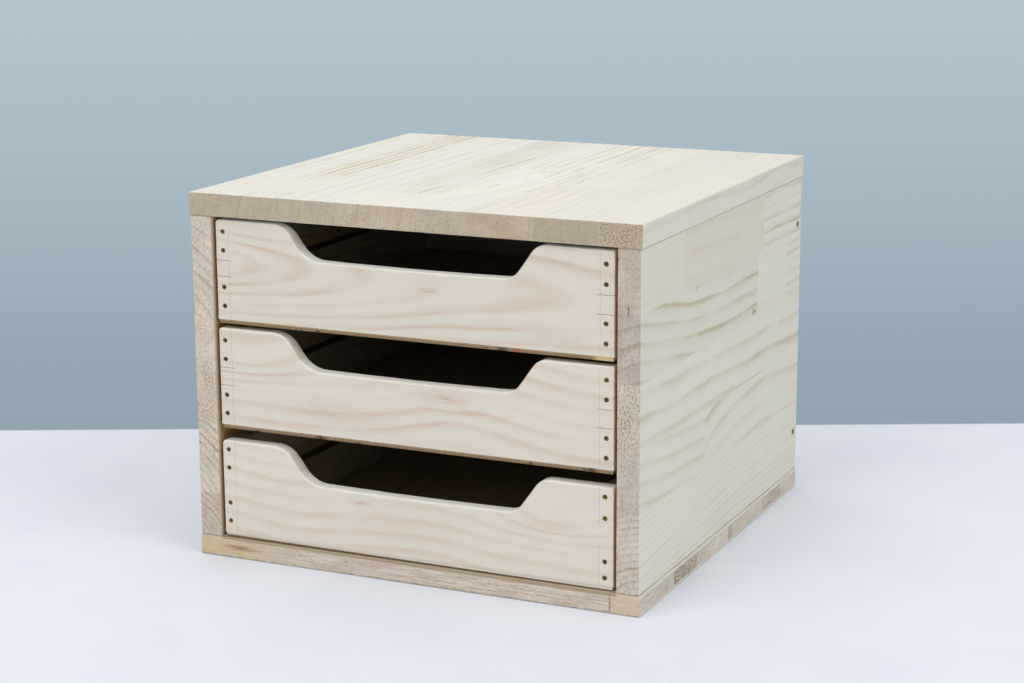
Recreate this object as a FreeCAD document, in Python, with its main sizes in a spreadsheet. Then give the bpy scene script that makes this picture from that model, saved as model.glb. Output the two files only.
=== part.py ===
import FreeCAD, Part
import math
import os
import Sketcher
from FreeCAD import Rotation, Vector

# A paper tray: an open-fronted case of pine board with three drawers, one above the other.
# Each drawer side is two slats with a slot between them, and the slot hangs on a wooden runner that is
# screwed to the case. The scoop in the top edge of each drawer front is its handle.
# X runs to the right as seen from the front, Y to the back and Z up, and the origin is the middle of the
# underside. Lengths are in millimetres and angles in degrees.

SIZES = (
    ("drawer_inside_width", 311, "room for the long side of a 297 mm sheet"),
    ("drawer_inside_length", 324, "room for the same sheet lengthways"),
    ("front_height", 79, "drawer front, drawer back and the two slats with their slot"),
    ("front_thickness", 12, "drawer front"),
    ("slat_thickness", 12, "the four side slats of a drawer"),
    ("drawer_back_thickness", 12, "back board between the slats"),
    ("plywood_thickness", 3, "drawer bottom, nailed on from below"),
    ("plywood_side_inset", 1, "plywood edge in from the slats' outer faces"),
    ("plywood_front_inset", 0.5, "plywood edge back from the drawer front's face"),
    ("corner_radius", 2, "top corners of the drawer front"),
    ("front_arris", 0.8, "eased edge round the drawer front's face"),
    ("scoop_depth", 26.5, "scoop, down from the front's top edge"),
    ("scoop_slope", 55, "angle of both slopes to the level"),
    ("scoop_left_shoulder", 52.5, "top edge left standing at the left"),
    ("scoop_right_shoulder", 55, "top edge left standing at the right"),
    ("scoop_left_radius", 20, "both bends of the left slope"),
    ("scoop_right_radius", 15, "both bends of the right slope"),
    ("runner_height", 10, "runner strip"),
    ("runner_recess", 3, "runner's inner face back from the slats' inner faces"),
    ("runner_play", 4, "free height under the runner in its slot"),
    ("seat_gap", 0.05, "slat to runner where the drawer hangs and where it stops"),
    ("side_gap", 3, "drawer to case side"),
    ("back_gap", 8, "closed drawer to case back"),
    ("front_setback", 2, "drawer fronts back from the case's front edges"),
    ("gap_under_bottom_drawer", 1, "to the case bottom"),
    ("gap_under_middle_drawer", 7.5, "to the drawer below"),
    ("gap_under_top_drawer", 3, "to the drawer below"),
    ("gap_over_top_drawer", 2.5, "to the case top"),
    ("board_thickness", 18, "pine panel of the case's top, sides and back"),
    ("bottom_thickness", 16, "blockboard bottom of the case"),
    ("top_overhang", 1, "top and bottom boards past the sides"),
    ("bottom_rear_inset", 2, "bottom board short of the case's rear"),
    ("case_arris", 0.5, "eased edges of the case's boards"),
    ("fastener_sides", 8, "sides of the prisms that stand for round fasteners"),
    ("drawer_screw_length", 25, "countersunk screw of the drawers and runners"),
    ("drawer_screw_width", 2.5, "its shank"),
    ("drawer_screw_head", 4.5, "its head"),
    ("drawer_screw_outer_margin", 10, "screw to the slat's outer edge"),
    ("drawer_screw_slot_margin", 7.5, "screw to the slat's slot edge"),
    ("runner_screw_margin", 30, "end screws to the runner's ends"),
    ("runner_screw_count", 3, "screws along a runner"),
    ("case_screw_length", 40, "countersunk screw of the case"),
    ("case_screw_width", 3, "its shank"),
    ("case_screw_head", 5, "its head"),
    ("back_screw_low_margin", 35, "lower screw in the case back to the sides' lower ends"),
    ("back_screw_high_margin", 40, "upper screw in the case back to the sides' upper ends"),
    ("bottom_screw_margin", 45, "end screws of the bottom to the case's front and rear"),
    ("bottom_screw_count", 3, "screws from the bottom into each side"),
    ("bottom_back_screw_margin", 70, "screws from the bottom into the back, from its ends"),
    ("dowel_width", 8, "dowel between the top and a side"),
    ("dowel_length", 35, "whole dowel"),
    ("dowel_depth_in_top", 10, "the part of it in the top"),
    ("dowel_margin", 60, "end dowels to the case's front and rear"),
    ("dowel_count", 3, "dowels along each side"),
    ("nail_length", 15, "nail through the plywood"),
    ("nail_width", 1.4, "its shank"),
    ("nail_head", 2.8, "its head"),
    ("nail_head_thickness", 0.5, "its head"),
    ("side_nail_margin", 45, "end nails of a side row to the slats' ends"),
    ("side_nail_count", 4, "nails along each slat"),
    ("end_nail_margin", 60, "end nails of a front or back row to the drawer's sides"),
    ("end_nail_count", 3, "nails along the drawer front and back"),
)

doc = FreeCAD.newDocument("paper_tray")
sizes = doc.addObject("Spreadsheet::Sheet", "sizes")
for row, (alias, value, meaning) in enumerate(SIZES, 1):
    sizes.set(f"A{row}", alias)
    sizes.set(f"B{row}", str(value))
    sizes.setAlias(f"B{row}", alias)
    sizes.set(f"C{row}", meaning)
doc.recompute()

# Sizes that follow from the sheet, as expressions.
DRAWER_WIDTH = "(sizes.drawer_inside_width + 2 * sizes.slat_thickness)"
SLAT_LENGTH = "(sizes.drawer_inside_length + sizes.drawer_back_thickness)"
SLOT_HEIGHT = "(sizes.runner_height + sizes.runner_play + sizes.seat_gap)"
SLAT_HEIGHT = f"((sizes.front_height - {SLOT_HEIGHT}) / 2)"
DRAWER_HEIGHT = "(sizes.plywood_thickness + sizes.front_height)"
SLAT_MIDDLE = f"(({DRAWER_WIDTH} - sizes.slat_thickness) / 2)"
RUNNER_WIDTH = "(sizes.side_gap + sizes.slat_thickness - sizes.runner_recess)"

CASE_INSIDE_WIDTH = f"({DRAWER_WIDTH} + 2 * sizes.side_gap)"
CASE_WIDTH = f"({CASE_INSIDE_WIDTH} + 2 * sizes.board_thickness)"
CASE_DEPTH = (
    f"(sizes.front_setback + sizes.front_thickness + {SLAT_LENGTH} + sizes.back_gap + sizes.board_thickness)"
)
BOARD_WIDTH = f"({CASE_WIDTH} + 2 * sizes.top_overhang)"

# Places along Y, from the case's front edges to its rear.
CASE_FRONT = f"(-{CASE_DEPTH} / 2)"
DRAWER_FRONT = f"({CASE_FRONT} + sizes.front_setback)"
SLAT_FRONT = f"({DRAWER_FRONT} + sizes.front_thickness)"
SLAT_REAR = f"({SLAT_FRONT} + {SLAT_LENGTH})"
DRAWER_BACK_MIDDLE = f"({SLAT_REAR} - sizes.drawer_back_thickness / 2)"
CASE_REAR = f"({CASE_DEPTH} / 2)"
CASE_BACK = f"({CASE_REAR} - sizes.board_thickness)"

# The underside of each drawer, from the bottom one up, and with them the height of the case.
LEVELS = {}
height_so_far = "sizes.bottom_thickness"
for place in ("bottom", "middle", "top"):
    LEVELS[place] = f"({height_so_far} + sizes.gap_under_{place}_drawer)"
    height_so_far = f"({LEVELS[place]} + {DRAWER_HEIGHT})"
CASE_INSIDE_TOP = f"({height_so_far} + sizes.gap_over_top_drawer)"
CASE_INSIDE_HEIGHT = f"({CASE_INSIDE_TOP} - sizes.bottom_thickness)"

kept = []


def number(expression):
    """The present value of an expression."""
    return float(sizes.evalExpression(expression))


def keep(thing, label):
    """Label a finished sub-part and list it for its file."""
    thing.Label = label
    kept.append(thing)
    return thing


def box(name, width, depth, height, left, front, bottom):
    """A rectangular board from its three sizes and its left front lower corner."""
    board = doc.addObject("Part::Box", name)
    board.setExpression("Length", width)
    board.setExpression("Width", depth)
    board.setExpression("Height", height)
    board.setExpression("Placement.Base.x", left)
    board.setExpression("Placement.Base.y", front)
    board.setExpression("Placement.Base.z", bottom)
    return board


def eased_box(name, width, depth, height, left, front, bottom, upright_only):
    """A rectangular board of the case with its edges, or only its upright ones, taken off."""
    body = doc.addObject("PartDesign::Body", name)
    block = body.newObject("PartDesign::AdditiveBox", name + "_block")
    block.setExpression("Length", width)
    block.setExpression("Width", depth)
    block.setExpression("Height", height)
    doc.recompute()

    edges = []
    for index, edge in enumerate(block.Shape.Edges, 1):
        upright = abs(edge.tangentAt(edge.FirstParameter).z) > 0.5
        if upright or not upright_only:
            edges.append(f"Edge{index}")
    arris = body.newObject("PartDesign::Chamfer", name + "_arris")
    arris.Base = (block, edges)
    arris.setExpression("Size", "sizes.case_arris")

    body.setExpression("Placement.Base.x", left)
    body.setExpression("Placement.Base.y", front)
    body.setExpression("Placement.Base.z", bottom)
    doc.recompute()
    return body


def drilled(name, board, fasteners):
    """A board with the holes that its fasteners seat in."""
    if len(fasteners) == 1:
        tool = fasteners[0]
    else:
        tool = doc.addObject("Part::Compound", name + "_holes")
        tool.Links = fasteners
    cut = doc.addObject("Part::Cut", name + "_drilled")
    cut.Base = board
    cut.Tool = tool
    return cut


def prism(name, width, length):
    """A round bar as a prism, standing on the origin."""
    bar = doc.addObject("Part::Prism", name)
    bar.setExpression("Polygon", "sizes.fastener_sides")
    bar.setExpression("Circumradius", f"{width} / 2")
    bar.setExpression("Height", length)
    return bar


def screw(name):
    """A countersunk screw whose head's face lies on the origin and whose point is up the Z axis."""
    outline = doc.addObject("Part::RegularPolygon", name + "_head_outline")
    outline.setExpression("Polygon", "sizes.fastener_sides")
    outline.setExpression("Circumradius", f"sizes.{name}_head / 2")
    head = doc.addObject("Part::Extrusion", name + "_cone")
    head.Base = outline
    head.DirMode = "Custom"
    head.Dir = Vector(0, 0, 1)
    head.Solid = True
    head.TaperAngle = -45
    head.setExpression("LengthFwd", f"(sizes.{name}_head - sizes.{name}_width) / 2")
    whole = doc.addObject("Part::Fuse", name)
    whole.Base = head
    whole.Tool = prism(name + "_shank", f"sizes.{name}_width", f"sizes.{name}_length")
    doc.recompute()
    return whole


def nail():
    """A flat-headed nail whose head's face lies on the origin and whose point is up the Z axis."""
    whole = doc.addObject("Part::Fuse", "nail")
    whole.Base = prism("nail_disc", "sizes.nail_head", "sizes.nail_head_thickness")
    whole.Tool = prism("nail_shank", "sizes.nail_width", "sizes.nail_length")
    doc.recompute()
    return whole


def group(label, fastener, places):
    """Copies of one fastener, each at a point and driven in a direction."""
    copies = []
    for point, direction in places:
        copy = fastener.Shape.copy()
        copy.Placement = FreeCAD.Placement(point, Rotation(Vector(0, 0, 1), direction))
        copies.append(copy)
    feature = doc.addObject("Part::Feature", label)
    feature.Shape = Part.makeCompound(copies)
    return keep(feature, label)


def spread(first, last, count_name):
    """As many evenly spaced places, from the first to the last, as the sheet says."""
    count = round(number(f"sizes.{count_name}"))
    step = (last - first) / (count - 1)
    return [first + step * index for index in range(count)]


def both_sides(distance):
    """The left and the right place at a distance from the middle."""
    return (-distance, distance)


def dimension(sketch, name, expression, constraint):
    """Add a constraint under a name and bind it to an expression."""
    sketch.renameConstraint(sketch.addConstraint(constraint), name)
    sketch.setExpression(f"Constraints.{name}", expression)


def origin_plane(body, role):
    """One of the body's own origin planes."""
    return next(feature for feature in body.Origin.OriginFeatures if feature.Role == role)


def front_outline(body):
    """The drawer front's outline with its scoop, on the body's XZ plane, standing on the X axis."""
    half_width = number(DRAWER_WIDTH) / 2
    top = number("sizes.front_height")
    corner = number("sizes.corner_radius")
    slope = math.radians(number("sizes.scoop_slope"))
    floor = top - number("sizes.scoop_depth")

    def arc(centre_x, centre_z, radius, start, end):
        circle = Part.Circle(Vector(centre_x, centre_z, 0), Vector(0, 0, 1), radius)
        return Part.ArcOfCircle(circle, start, end)

    def line(x1, z1, x2, z2):
        return Part.LineSegment(Vector(x1, z1, 0), Vector(x2, z2, 0))

    def slope_points(side):
        """The scoop's bends on one side: shoulder, upper and lower end of the slope, foot."""
        name = "right" if side > 0 else "left"
        radius = number(f"sizes.scoop_{name}_radius")
        shoulder = side * (half_width - number(f"sizes.scoop_{name}_shoulder"))
        bend_across = radius * math.sin(slope)
        bend_down = radius * (1 - math.cos(slope))
        run = (top - floor - 2 * bend_down) / math.tan(slope)
        upper = (shoulder - side * bend_across, top - bend_down)
        lower = (upper[0] - side * run, floor + bend_down)
        return radius, shoulder, upper, lower, lower[0] - side * bend_across

    right_radius, right_shoulder, right_upper, right_lower, right_foot = slope_points(1)
    left_radius, left_shoulder, left_upper, left_lower, left_foot = slope_points(-1)
    quarter = math.pi / 2

    sketch = body.newObject("Sketcher::SketchObject", body.Name + "_outline")
    sketch.AttachmentSupport = [(origin_plane(body, "XZ_Plane"), "")]
    sketch.MapMode = "FlatFace"

    def add(geometry):
        return sketch.addGeometry(geometry, False)

    bottom = add(line(-half_width, 0, half_width, 0))
    right = add(line(half_width, 0, half_width, top - corner))
    right_corner = add(arc(half_width - corner, top - corner, corner, 0, quarter))
    right_top = add(line(half_width - corner, top, right_shoulder, top))
    right_bend = add(arc(right_shoulder, top - right_radius, right_radius, quarter, quarter + slope))
    right_slope = add(line(*right_lower, *right_upper))
    right_hollow = add(arc(right_foot, floor + right_radius, right_radius, -quarter, slope - quarter))
    scoop_floor = add(line(right_foot, floor, left_foot, floor))
    left_hollow = add(arc(left_foot, floor + left_radius, left_radius, -quarter - slope, -quarter))
    left_slope = add(line(*left_upper, *left_lower))
    left_bend = add(arc(left_shoulder, top - left_radius, left_radius, quarter - slope, quarter))
    left_top = add(line(left_shoulder, top, corner - half_width, top))
    left_corner = add(arc(corner - half_width, top - corner, corner, quarter, math.pi))
    left = add(line(-half_width, top - corner, -half_width, 0))

    start, end, centre = 1, 2, 3
    smooth_joints = (
        (right, end, right_corner, start),
        (right_corner, end, right_top, start),
        (right_top, end, right_bend, start),
        (right_bend, end, right_slope, end),
        (right_slope, start, right_hollow, end),
        (right_hollow, start, scoop_floor, start),
        (scoop_floor, end, left_hollow, end),
        (left_hollow, start, left_slope, end),
        (left_slope, start, left_bend, start),
        (left_bend, end, left_top, start),
        (left_top, end, left_corner, start),
        (left_corner, end, left, start),
    )
    for joint in smooth_joints:
        sketch.addConstraint(Sketcher.Constraint("Tangent", *joint))
    sketch.addConstraint(Sketcher.Constraint("Coincident", left, end, bottom, start))
    sketch.addConstraint(Sketcher.Constraint("Coincident", bottom, end, right, start))
    for level_line in (bottom, right_top, scoop_floor, left_top):
        sketch.addConstraint(Sketcher.Constraint("Horizontal", level_line))
    for upright in (right, left):
        sketch.addConstraint(Sketcher.Constraint("Vertical", upright))

    # The sketch's origin is geometry -1, point 1, and its X and Y axes are geometry -1 and -2.
    sketch.addConstraint(Sketcher.Constraint("Symmetric", bottom, start, bottom, end, -1, 1))
    sketch.addConstraint(Sketcher.Constraint("Equal", right_corner, left_corner))
    sketch.addConstraint(Sketcher.Constraint("Equal", right_bend, right_hollow))
    sketch.addConstraint(Sketcher.Constraint("Equal", left_bend, left_hollow))
    sketch.addConstraint(Sketcher.Constraint("Horizontal", left_top, start, right_top, start))

    def distance(kind, first, first_end, second, second_end, value):
        return Sketcher.Constraint(kind, first, first_end, second, second_end, value)

    dimension(
        sketch, "width", DRAWER_WIDTH,
        distance("DistanceX", bottom, start, bottom, end, 2 * half_width),
    )
    dimension(
        sketch, "top", "sizes.front_height",
        distance("DistanceY", bottom, end, right_top, start, top),
    )
    dimension(
        sketch, "corner", "sizes.corner_radius",
        Sketcher.Constraint("Radius", right_corner, corner),
    )
    dimension(
        sketch, "scoop_depth", "sizes.scoop_depth",
        distance("DistanceY", scoop_floor, start, right_top, end, top - floor),
    )
    dimension(
        sketch, "right_radius", "sizes.scoop_right_radius",
        Sketcher.Constraint("Radius", right_bend, right_radius),
    )
    dimension(
        sketch, "left_radius", "sizes.scoop_left_radius",
        Sketcher.Constraint("Radius", left_bend, left_radius),
    )
    dimension(
        sketch, "right_shoulder", "sizes.scoop_right_shoulder",
        distance("DistanceX", right_top, end, right, start, half_width - right_shoulder),
    )
    dimension(
        sketch, "left_shoulder", "sizes.scoop_left_shoulder",
        distance("DistanceX", left, end, left_top, start, half_width + left_shoulder),
    )
    dimension(
        sketch, "right_slope", "sizes.scoop_slope * 1 deg",
        Sketcher.Constraint("Angle", right_slope, slope),
    )
    dimension(
        sketch, "left_slope", "-sizes.scoop_slope * 1 deg",
        Sketcher.Constraint("Angle", left_slope, -slope),
    )
    return sketch


def drawer_front(name, level):
    """The drawer front's board, its scoop and its eased edges, before its holes."""
    body = doc.addObject("PartDesign::Body", name)
    pad = body.newObject("PartDesign::Pad", name + "_board")
    pad.Profile = front_outline(body)
    pad.Reversed = True
    pad.setExpression("Length", "sizes.front_thickness")
    doc.recompute()

    face_edges = []
    for index, edge in enumerate(pad.Shape.Edges, 1):
        extent = edge.BoundBox
        on_face = extent.YMax < 0.001
        on_foot = extent.ZMax < 0.001
        if on_face and not on_foot:
            face_edges.append(f"Edge{index}")
    arris = body.newObject("PartDesign::Chamfer", name + "_arris")
    arris.Base = (pad, face_edges)
    arris.setExpression("Size", "sizes.front_arris")

    body.setExpression("Placement.Base.y", DRAWER_FRONT)
    body.setExpression("Placement.Base.z", f"{level} + sizes.plywood_thickness")
    doc.recompute()
    return body


def screw_heights(level):
    """The four heights of a drawer's screws: two in the lower slat and two in the upper one."""
    low = number(f"{level} + sizes.plywood_thickness")
    high = number(f"{level} + {DRAWER_HEIGHT}")
    outer = number("sizes.drawer_screw_outer_margin")
    inner = number(f"{SLAT_HEIGHT} - sizes.drawer_screw_slot_margin")
    return (low + outer, low + inner, high - inner, high - outer)


def front_screws(name, level, screw_shape):
    """Screws through the drawer front into the ends of the slats."""
    places = []
    for height in screw_heights(level):
        for x in both_sides(number(SLAT_MIDDLE)):
            places.append((Vector(x, number(DRAWER_FRONT), height), Vector(0, 1, 0)))
    return group(name, screw_shape, places)


def back_screws(name, level, screw_shape):
    """Screws through the slats into the ends of the drawer back."""
    places = []
    for height in screw_heights(level):
        for x in both_sides(number(f"{DRAWER_WIDTH} / 2")):
            places.append((Vector(x, number(DRAWER_BACK_MIDDLE), height), Vector(-x, 0, 0)))
    return group(name, screw_shape, places)


def bottom_nails(name, level, nail_shape):
    """Nails up through the plywood: a row along each side, and one along the front and the back."""
    points = []
    side_margin = number("sizes.side_nail_margin")
    side_row = spread(
        number(SLAT_FRONT) + side_margin, number(SLAT_REAR) - side_margin, "side_nail_count"
    )
    for x in both_sides(number(SLAT_MIDDLE)):
        points += [(x, y) for y in side_row]
    end_reach = number(f"{DRAWER_WIDTH} / 2 - sizes.end_nail_margin")
    end_row = spread(-end_reach, end_reach, "end_nail_count")
    for y in (number(f"{DRAWER_FRONT} + sizes.front_thickness / 2"), number(DRAWER_BACK_MIDDLE)):
        points += [(x, y) for x in end_row]
    places = [(Vector(x, y, number(level)), Vector(0, 0, 1)) for x, y in points]
    return group(name, nail_shape, places)


def slats(name, level, screws):
    """The two slats of each drawer side, one above the slot that the runner fills and one below."""
    for side, left in (
        ("left", f"-{DRAWER_WIDTH} / 2"),
        ("right", f"{DRAWER_WIDTH} / 2 - sizes.slat_thickness"),
    ):
        for row, bottom in (
            ("lower", f"{level} + sizes.plywood_thickness"),
            ("upper", f"{level} + {DRAWER_HEIGHT} - {SLAT_HEIGHT}"),
        ):
            label = f"{name}_{side}_{row}_slat"
            slat = box(
                label + "_board", "sizes.slat_thickness", SLAT_LENGTH, SLAT_HEIGHT,
                left, SLAT_FRONT, bottom,
            )
            keep(drilled(label, slat, [screws]), label)


def drawer(place, level, screw_shape, nail_shape):
    """One drawer: front, back, four slats, plywood bottom, screws and nails."""
    name = place + "_drawer"
    front = drawer_front(name + "_front_board", level)
    holes = front_screws(name + "_front_screws", level, screw_shape)
    keep(drilled(name + "_front", front, [holes]), name + "_front")
    slats(name, level, back_screws(name + "_back_screws", level, screw_shape))
    back = box(
        name + "_back",
        "sizes.drawer_inside_width",
        "sizes.drawer_back_thickness",
        "sizes.front_height",
        "-sizes.drawer_inside_width / 2",
        f"{SLAT_REAR} - sizes.drawer_back_thickness",
        f"{level} + sizes.plywood_thickness",
    )
    keep(back, name + "_back")
    plywood = box(
        name + "_bottom",
        f"{DRAWER_WIDTH} - 2 * sizes.plywood_side_inset",
        f"{SLAT_REAR} - {DRAWER_FRONT} - sizes.plywood_front_inset",
        "sizes.plywood_thickness",
        f"sizes.plywood_side_inset - {DRAWER_WIDTH} / 2",
        f"{DRAWER_FRONT} + sizes.plywood_front_inset",
        level,
    )
    keep(plywood, name + "_bottom")
    bottom_nails(name + "_bottom_nails", level, nail_shape)


def runners(place, level, screw_shape):
    """The left and the right runner of one drawer, with the screws that hold them to the case."""
    runner_top = f"({level} + {DRAWER_HEIGHT} - {SLAT_HEIGHT} - sizes.seat_gap)"
    runner_bottom = f"({runner_top} - sizes.runner_height)"
    runner_front = f"({SLAT_FRONT} + sizes.seat_gap)"
    inner_face = number(f"{CASE_INSIDE_WIDTH} / 2 - {RUNNER_WIDTH}")
    margin = number("sizes.runner_screw_margin")
    places = []
    for x in both_sides(inner_face):
        for y in spread(
            number(runner_front) + margin,
            number(f"{runner_front} + {SLAT_LENGTH}") - margin,
            "runner_screw_count",
        ):
            height = number(f"{runner_top} - sizes.runner_height / 2")
            places.append((Vector(x, y, height), Vector(x, 0, 0)))
    screws = group(place + "_runner_screws", screw_shape, places)

    for side, left in (
        ("left", f"-{CASE_INSIDE_WIDTH} / 2"),
        ("right", f"{CASE_INSIDE_WIDTH} / 2 - {RUNNER_WIDTH}"),
    ):
        label = f"{place}_{side}_runner"
        strip = box(
            label + "_strip", RUNNER_WIDTH, SLAT_LENGTH, "sizes.runner_height",
            left, runner_front, runner_bottom,
        )
        keep(drilled(label, strip, [screws]), label)


def case(screw_shape, dowel_shape):
    """The case: top, bottom, two sides and a back, with their screws and dowels."""
    side_middle = number(f"({CASE_INSIDE_WIDTH} + sizes.board_thickness) / 2")
    front = number(CASE_FRONT)
    rear = number(CASE_REAR)

    dowel_margin = number("sizes.dowel_margin")
    dowel_foot = number(f"{CASE_INSIDE_TOP} + sizes.dowel_depth_in_top - sizes.dowel_length")
    dowel_places = []
    for x in both_sides(side_middle):
        for y in spread(front + dowel_margin, rear - dowel_margin, "dowel_count"):
            dowel_places.append((Vector(x, y, dowel_foot), Vector(0, 0, 1)))
    dowels = group("top_dowels", dowel_shape, dowel_places)

    screw_margin = number("sizes.bottom_screw_margin")
    bottom_places = []
    for x in both_sides(side_middle):
        for y in spread(front + screw_margin, rear - screw_margin, "bottom_screw_count"):
            bottom_places.append((Vector(x, y, 0), Vector(0, 0, 1)))
    for x in both_sides(number(f"{CASE_INSIDE_WIDTH} / 2 - sizes.bottom_back_screw_margin")):
        y = number(f"{CASE_BACK} + sizes.board_thickness / 2")
        bottom_places.append((Vector(x, y, 0), Vector(0, 0, 1)))
    bottom_screws = group("bottom_screws", screw_shape, bottom_places)

    back_places = []
    for x in both_sides(number(f"{CASE_WIDTH} / 2")):
        for height in (
            number("sizes.bottom_thickness + sizes.back_screw_low_margin"),
            number(f"{CASE_INSIDE_TOP} - sizes.back_screw_high_margin"),
        ):
            y = number(f"{CASE_BACK} + sizes.board_thickness / 2")
            back_places.append((Vector(x, y, height), Vector(-x, 0, 0)))
    back_screw_group = group("back_screws", screw_shape, back_places)

    top = eased_box(
        "top_panel", BOARD_WIDTH, CASE_DEPTH, "sizes.board_thickness",
        f"-{BOARD_WIDTH} / 2", CASE_FRONT, CASE_INSIDE_TOP, False,
    )
    keep(drilled("top_board", top, [dowels]), "top_board")

    for side, left in (
        ("left", f"-{CASE_WIDTH} / 2"),
        ("right", f"{CASE_INSIDE_WIDTH} / 2"),
    ):
        label = side + "_side_board"
        panel = eased_box(
            side + "_side_panel", "sizes.board_thickness", CASE_DEPTH, CASE_INSIDE_HEIGHT,
            left, CASE_FRONT, "sizes.bottom_thickness", True,
        )
        keep(drilled(label, panel, [dowels, back_screw_group]), label)

    back = box(
        "back_board", CASE_INSIDE_WIDTH, "sizes.board_thickness", CASE_INSIDE_HEIGHT,
        f"-{CASE_INSIDE_WIDTH} / 2", CASE_BACK, "sizes.bottom_thickness",
    )
    keep(back, "back_board")

    bottom = eased_box(
        "bottom_panel", BOARD_WIDTH, f"{CASE_DEPTH} - sizes.bottom_rear_inset", "sizes.bottom_thickness",
        f"-{BOARD_WIDTH} / 2", CASE_FRONT, "0", False,
    )
    keep(drilled("bottom_board", bottom, [bottom_screws]), "bottom_board")


def check(thing):
    """Stop if an object failed, is empty or is not valid, or if a cut took nothing away."""
    if "Invalid" in thing.State or "Error" in thing.State:
        raise RuntimeError(f"{thing.Label} failed: {thing.State}")
    if thing in kept and (thing.Shape.isNull() or not thing.Shape.isValid()):
        raise RuntimeError(f"{thing.Label} has no valid shape")
    if thing.TypeId == "Part::Cut" and thing.Shape.Volume >= thing.Base.Shape.Volume:
        raise RuntimeError(f"{thing.Label} has no holes")


drawer_screw = screw("drawer_screw")
case_screw = screw("case_screw")
plywood_nail = nail()
dowel = prism("dowel", "sizes.dowel_width", "sizes.dowel_length")
doc.recompute()

case(case_screw, dowel)
for place, level in LEVELS.items():
    runners(place, level, drawer_screw)
    drawer(place, level, drawer_screw, plywood_nail)
doc.recompute()

for thing in doc.Objects:
    check(thing)
os.makedirs("parts", exist_ok=True)
for thing in kept:
    thing.Shape.exportStep(f"parts/{thing.Label}.step")
    print(thing.Label, len(thing.Shape.Solids), "solids,", round(thing.Shape.Volume), "cubic mm")
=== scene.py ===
# %% [markdown]
# A paper tray in bare pine
#
# The real tray is a home-made case of pine panel with three drawers. Everything on it is wood that was sawn,
# sanded and left bare, plus screws, nails and pencil marks. So most of this lesson is about wood: how one
# formula for growth rings can show face grain, edge grain and end grain, each where the saw left it.

# %% Load the frame
import math
from typing import NamedTuple

import bmesh
import bpy
from mathutils import Matrix, Vector, noise


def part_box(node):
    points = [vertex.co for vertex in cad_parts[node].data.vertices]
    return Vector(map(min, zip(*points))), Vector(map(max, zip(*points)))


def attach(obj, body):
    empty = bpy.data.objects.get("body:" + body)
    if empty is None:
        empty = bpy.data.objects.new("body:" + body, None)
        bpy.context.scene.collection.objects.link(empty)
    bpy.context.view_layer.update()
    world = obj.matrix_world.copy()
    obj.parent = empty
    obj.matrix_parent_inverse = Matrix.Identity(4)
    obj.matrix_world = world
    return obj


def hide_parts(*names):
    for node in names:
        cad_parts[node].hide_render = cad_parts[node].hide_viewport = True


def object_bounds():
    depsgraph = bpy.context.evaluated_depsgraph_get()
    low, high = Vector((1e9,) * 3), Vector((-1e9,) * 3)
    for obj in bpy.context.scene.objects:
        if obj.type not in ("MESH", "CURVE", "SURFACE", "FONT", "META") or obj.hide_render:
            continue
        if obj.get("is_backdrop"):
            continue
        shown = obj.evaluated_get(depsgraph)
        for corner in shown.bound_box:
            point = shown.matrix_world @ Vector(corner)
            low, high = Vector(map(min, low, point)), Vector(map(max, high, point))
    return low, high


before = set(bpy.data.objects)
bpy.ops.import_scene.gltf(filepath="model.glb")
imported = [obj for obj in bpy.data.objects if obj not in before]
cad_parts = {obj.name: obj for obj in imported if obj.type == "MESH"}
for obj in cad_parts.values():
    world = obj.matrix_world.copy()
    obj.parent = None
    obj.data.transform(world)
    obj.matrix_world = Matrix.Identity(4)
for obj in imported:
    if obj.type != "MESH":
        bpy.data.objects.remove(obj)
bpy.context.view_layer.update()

MM = 0.001
PLACES = ("bottom", "middle", "top")

# %% [markdown]
# Colours
#
# Colours are noted down as a painter would, from 0 to 255 as a screen shows them. Shaders work in linear
# light, so one function turns such a note into the linear colour that a socket needs.


# %% Colours
def shade(red, green, blue):
    """A colour as a screen shows it, from 0 to 255, turned into linear light."""
    return tuple(((part / 255 + 0.055) / 1.055) ** 2.4 for part in (red, green, blue)) + (1.0,)


CREAM = shade(232, 227, 212)
TOP_CREAM = shade(233, 229, 217)
FRONT_CREAM = shade(237, 227, 210)
LATE_WOOD = shade(204, 190, 156)
FRONT_LATE = shade(216, 188, 154)
TOP_LATE = shade(198, 180, 142)
END_PALE = shade(224, 213, 196)
END_DARK = shade(166, 142, 122)
END_PINK = shade(206, 182, 160)
END_GREY = shade(208, 207, 190)
END_PORE = shade(146, 106, 78)
END_STRAW = shade(242, 228, 200)
END_SCRATCH = shade(176, 146, 130)
PINK_TINT = shade(252, 243, 234)
PENCIL = shade(96, 92, 92)
print("Sapwood in linear light:", [round(part, 3) for part in CREAM[:3]])

# %% [markdown]
# Shader maths in plain Python
#
# A wood shader is mostly arithmetic, and arithmetic is easier to read as a formula than as a web of nodes.
# The class below wraps one socket. Adding or multiplying two of them puts a Math node into the material, so
# `1 - mask * 0.5` means what it says. Every other node is made by one method, which takes the node's type,
# its settings and what goes into its sockets.


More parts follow.
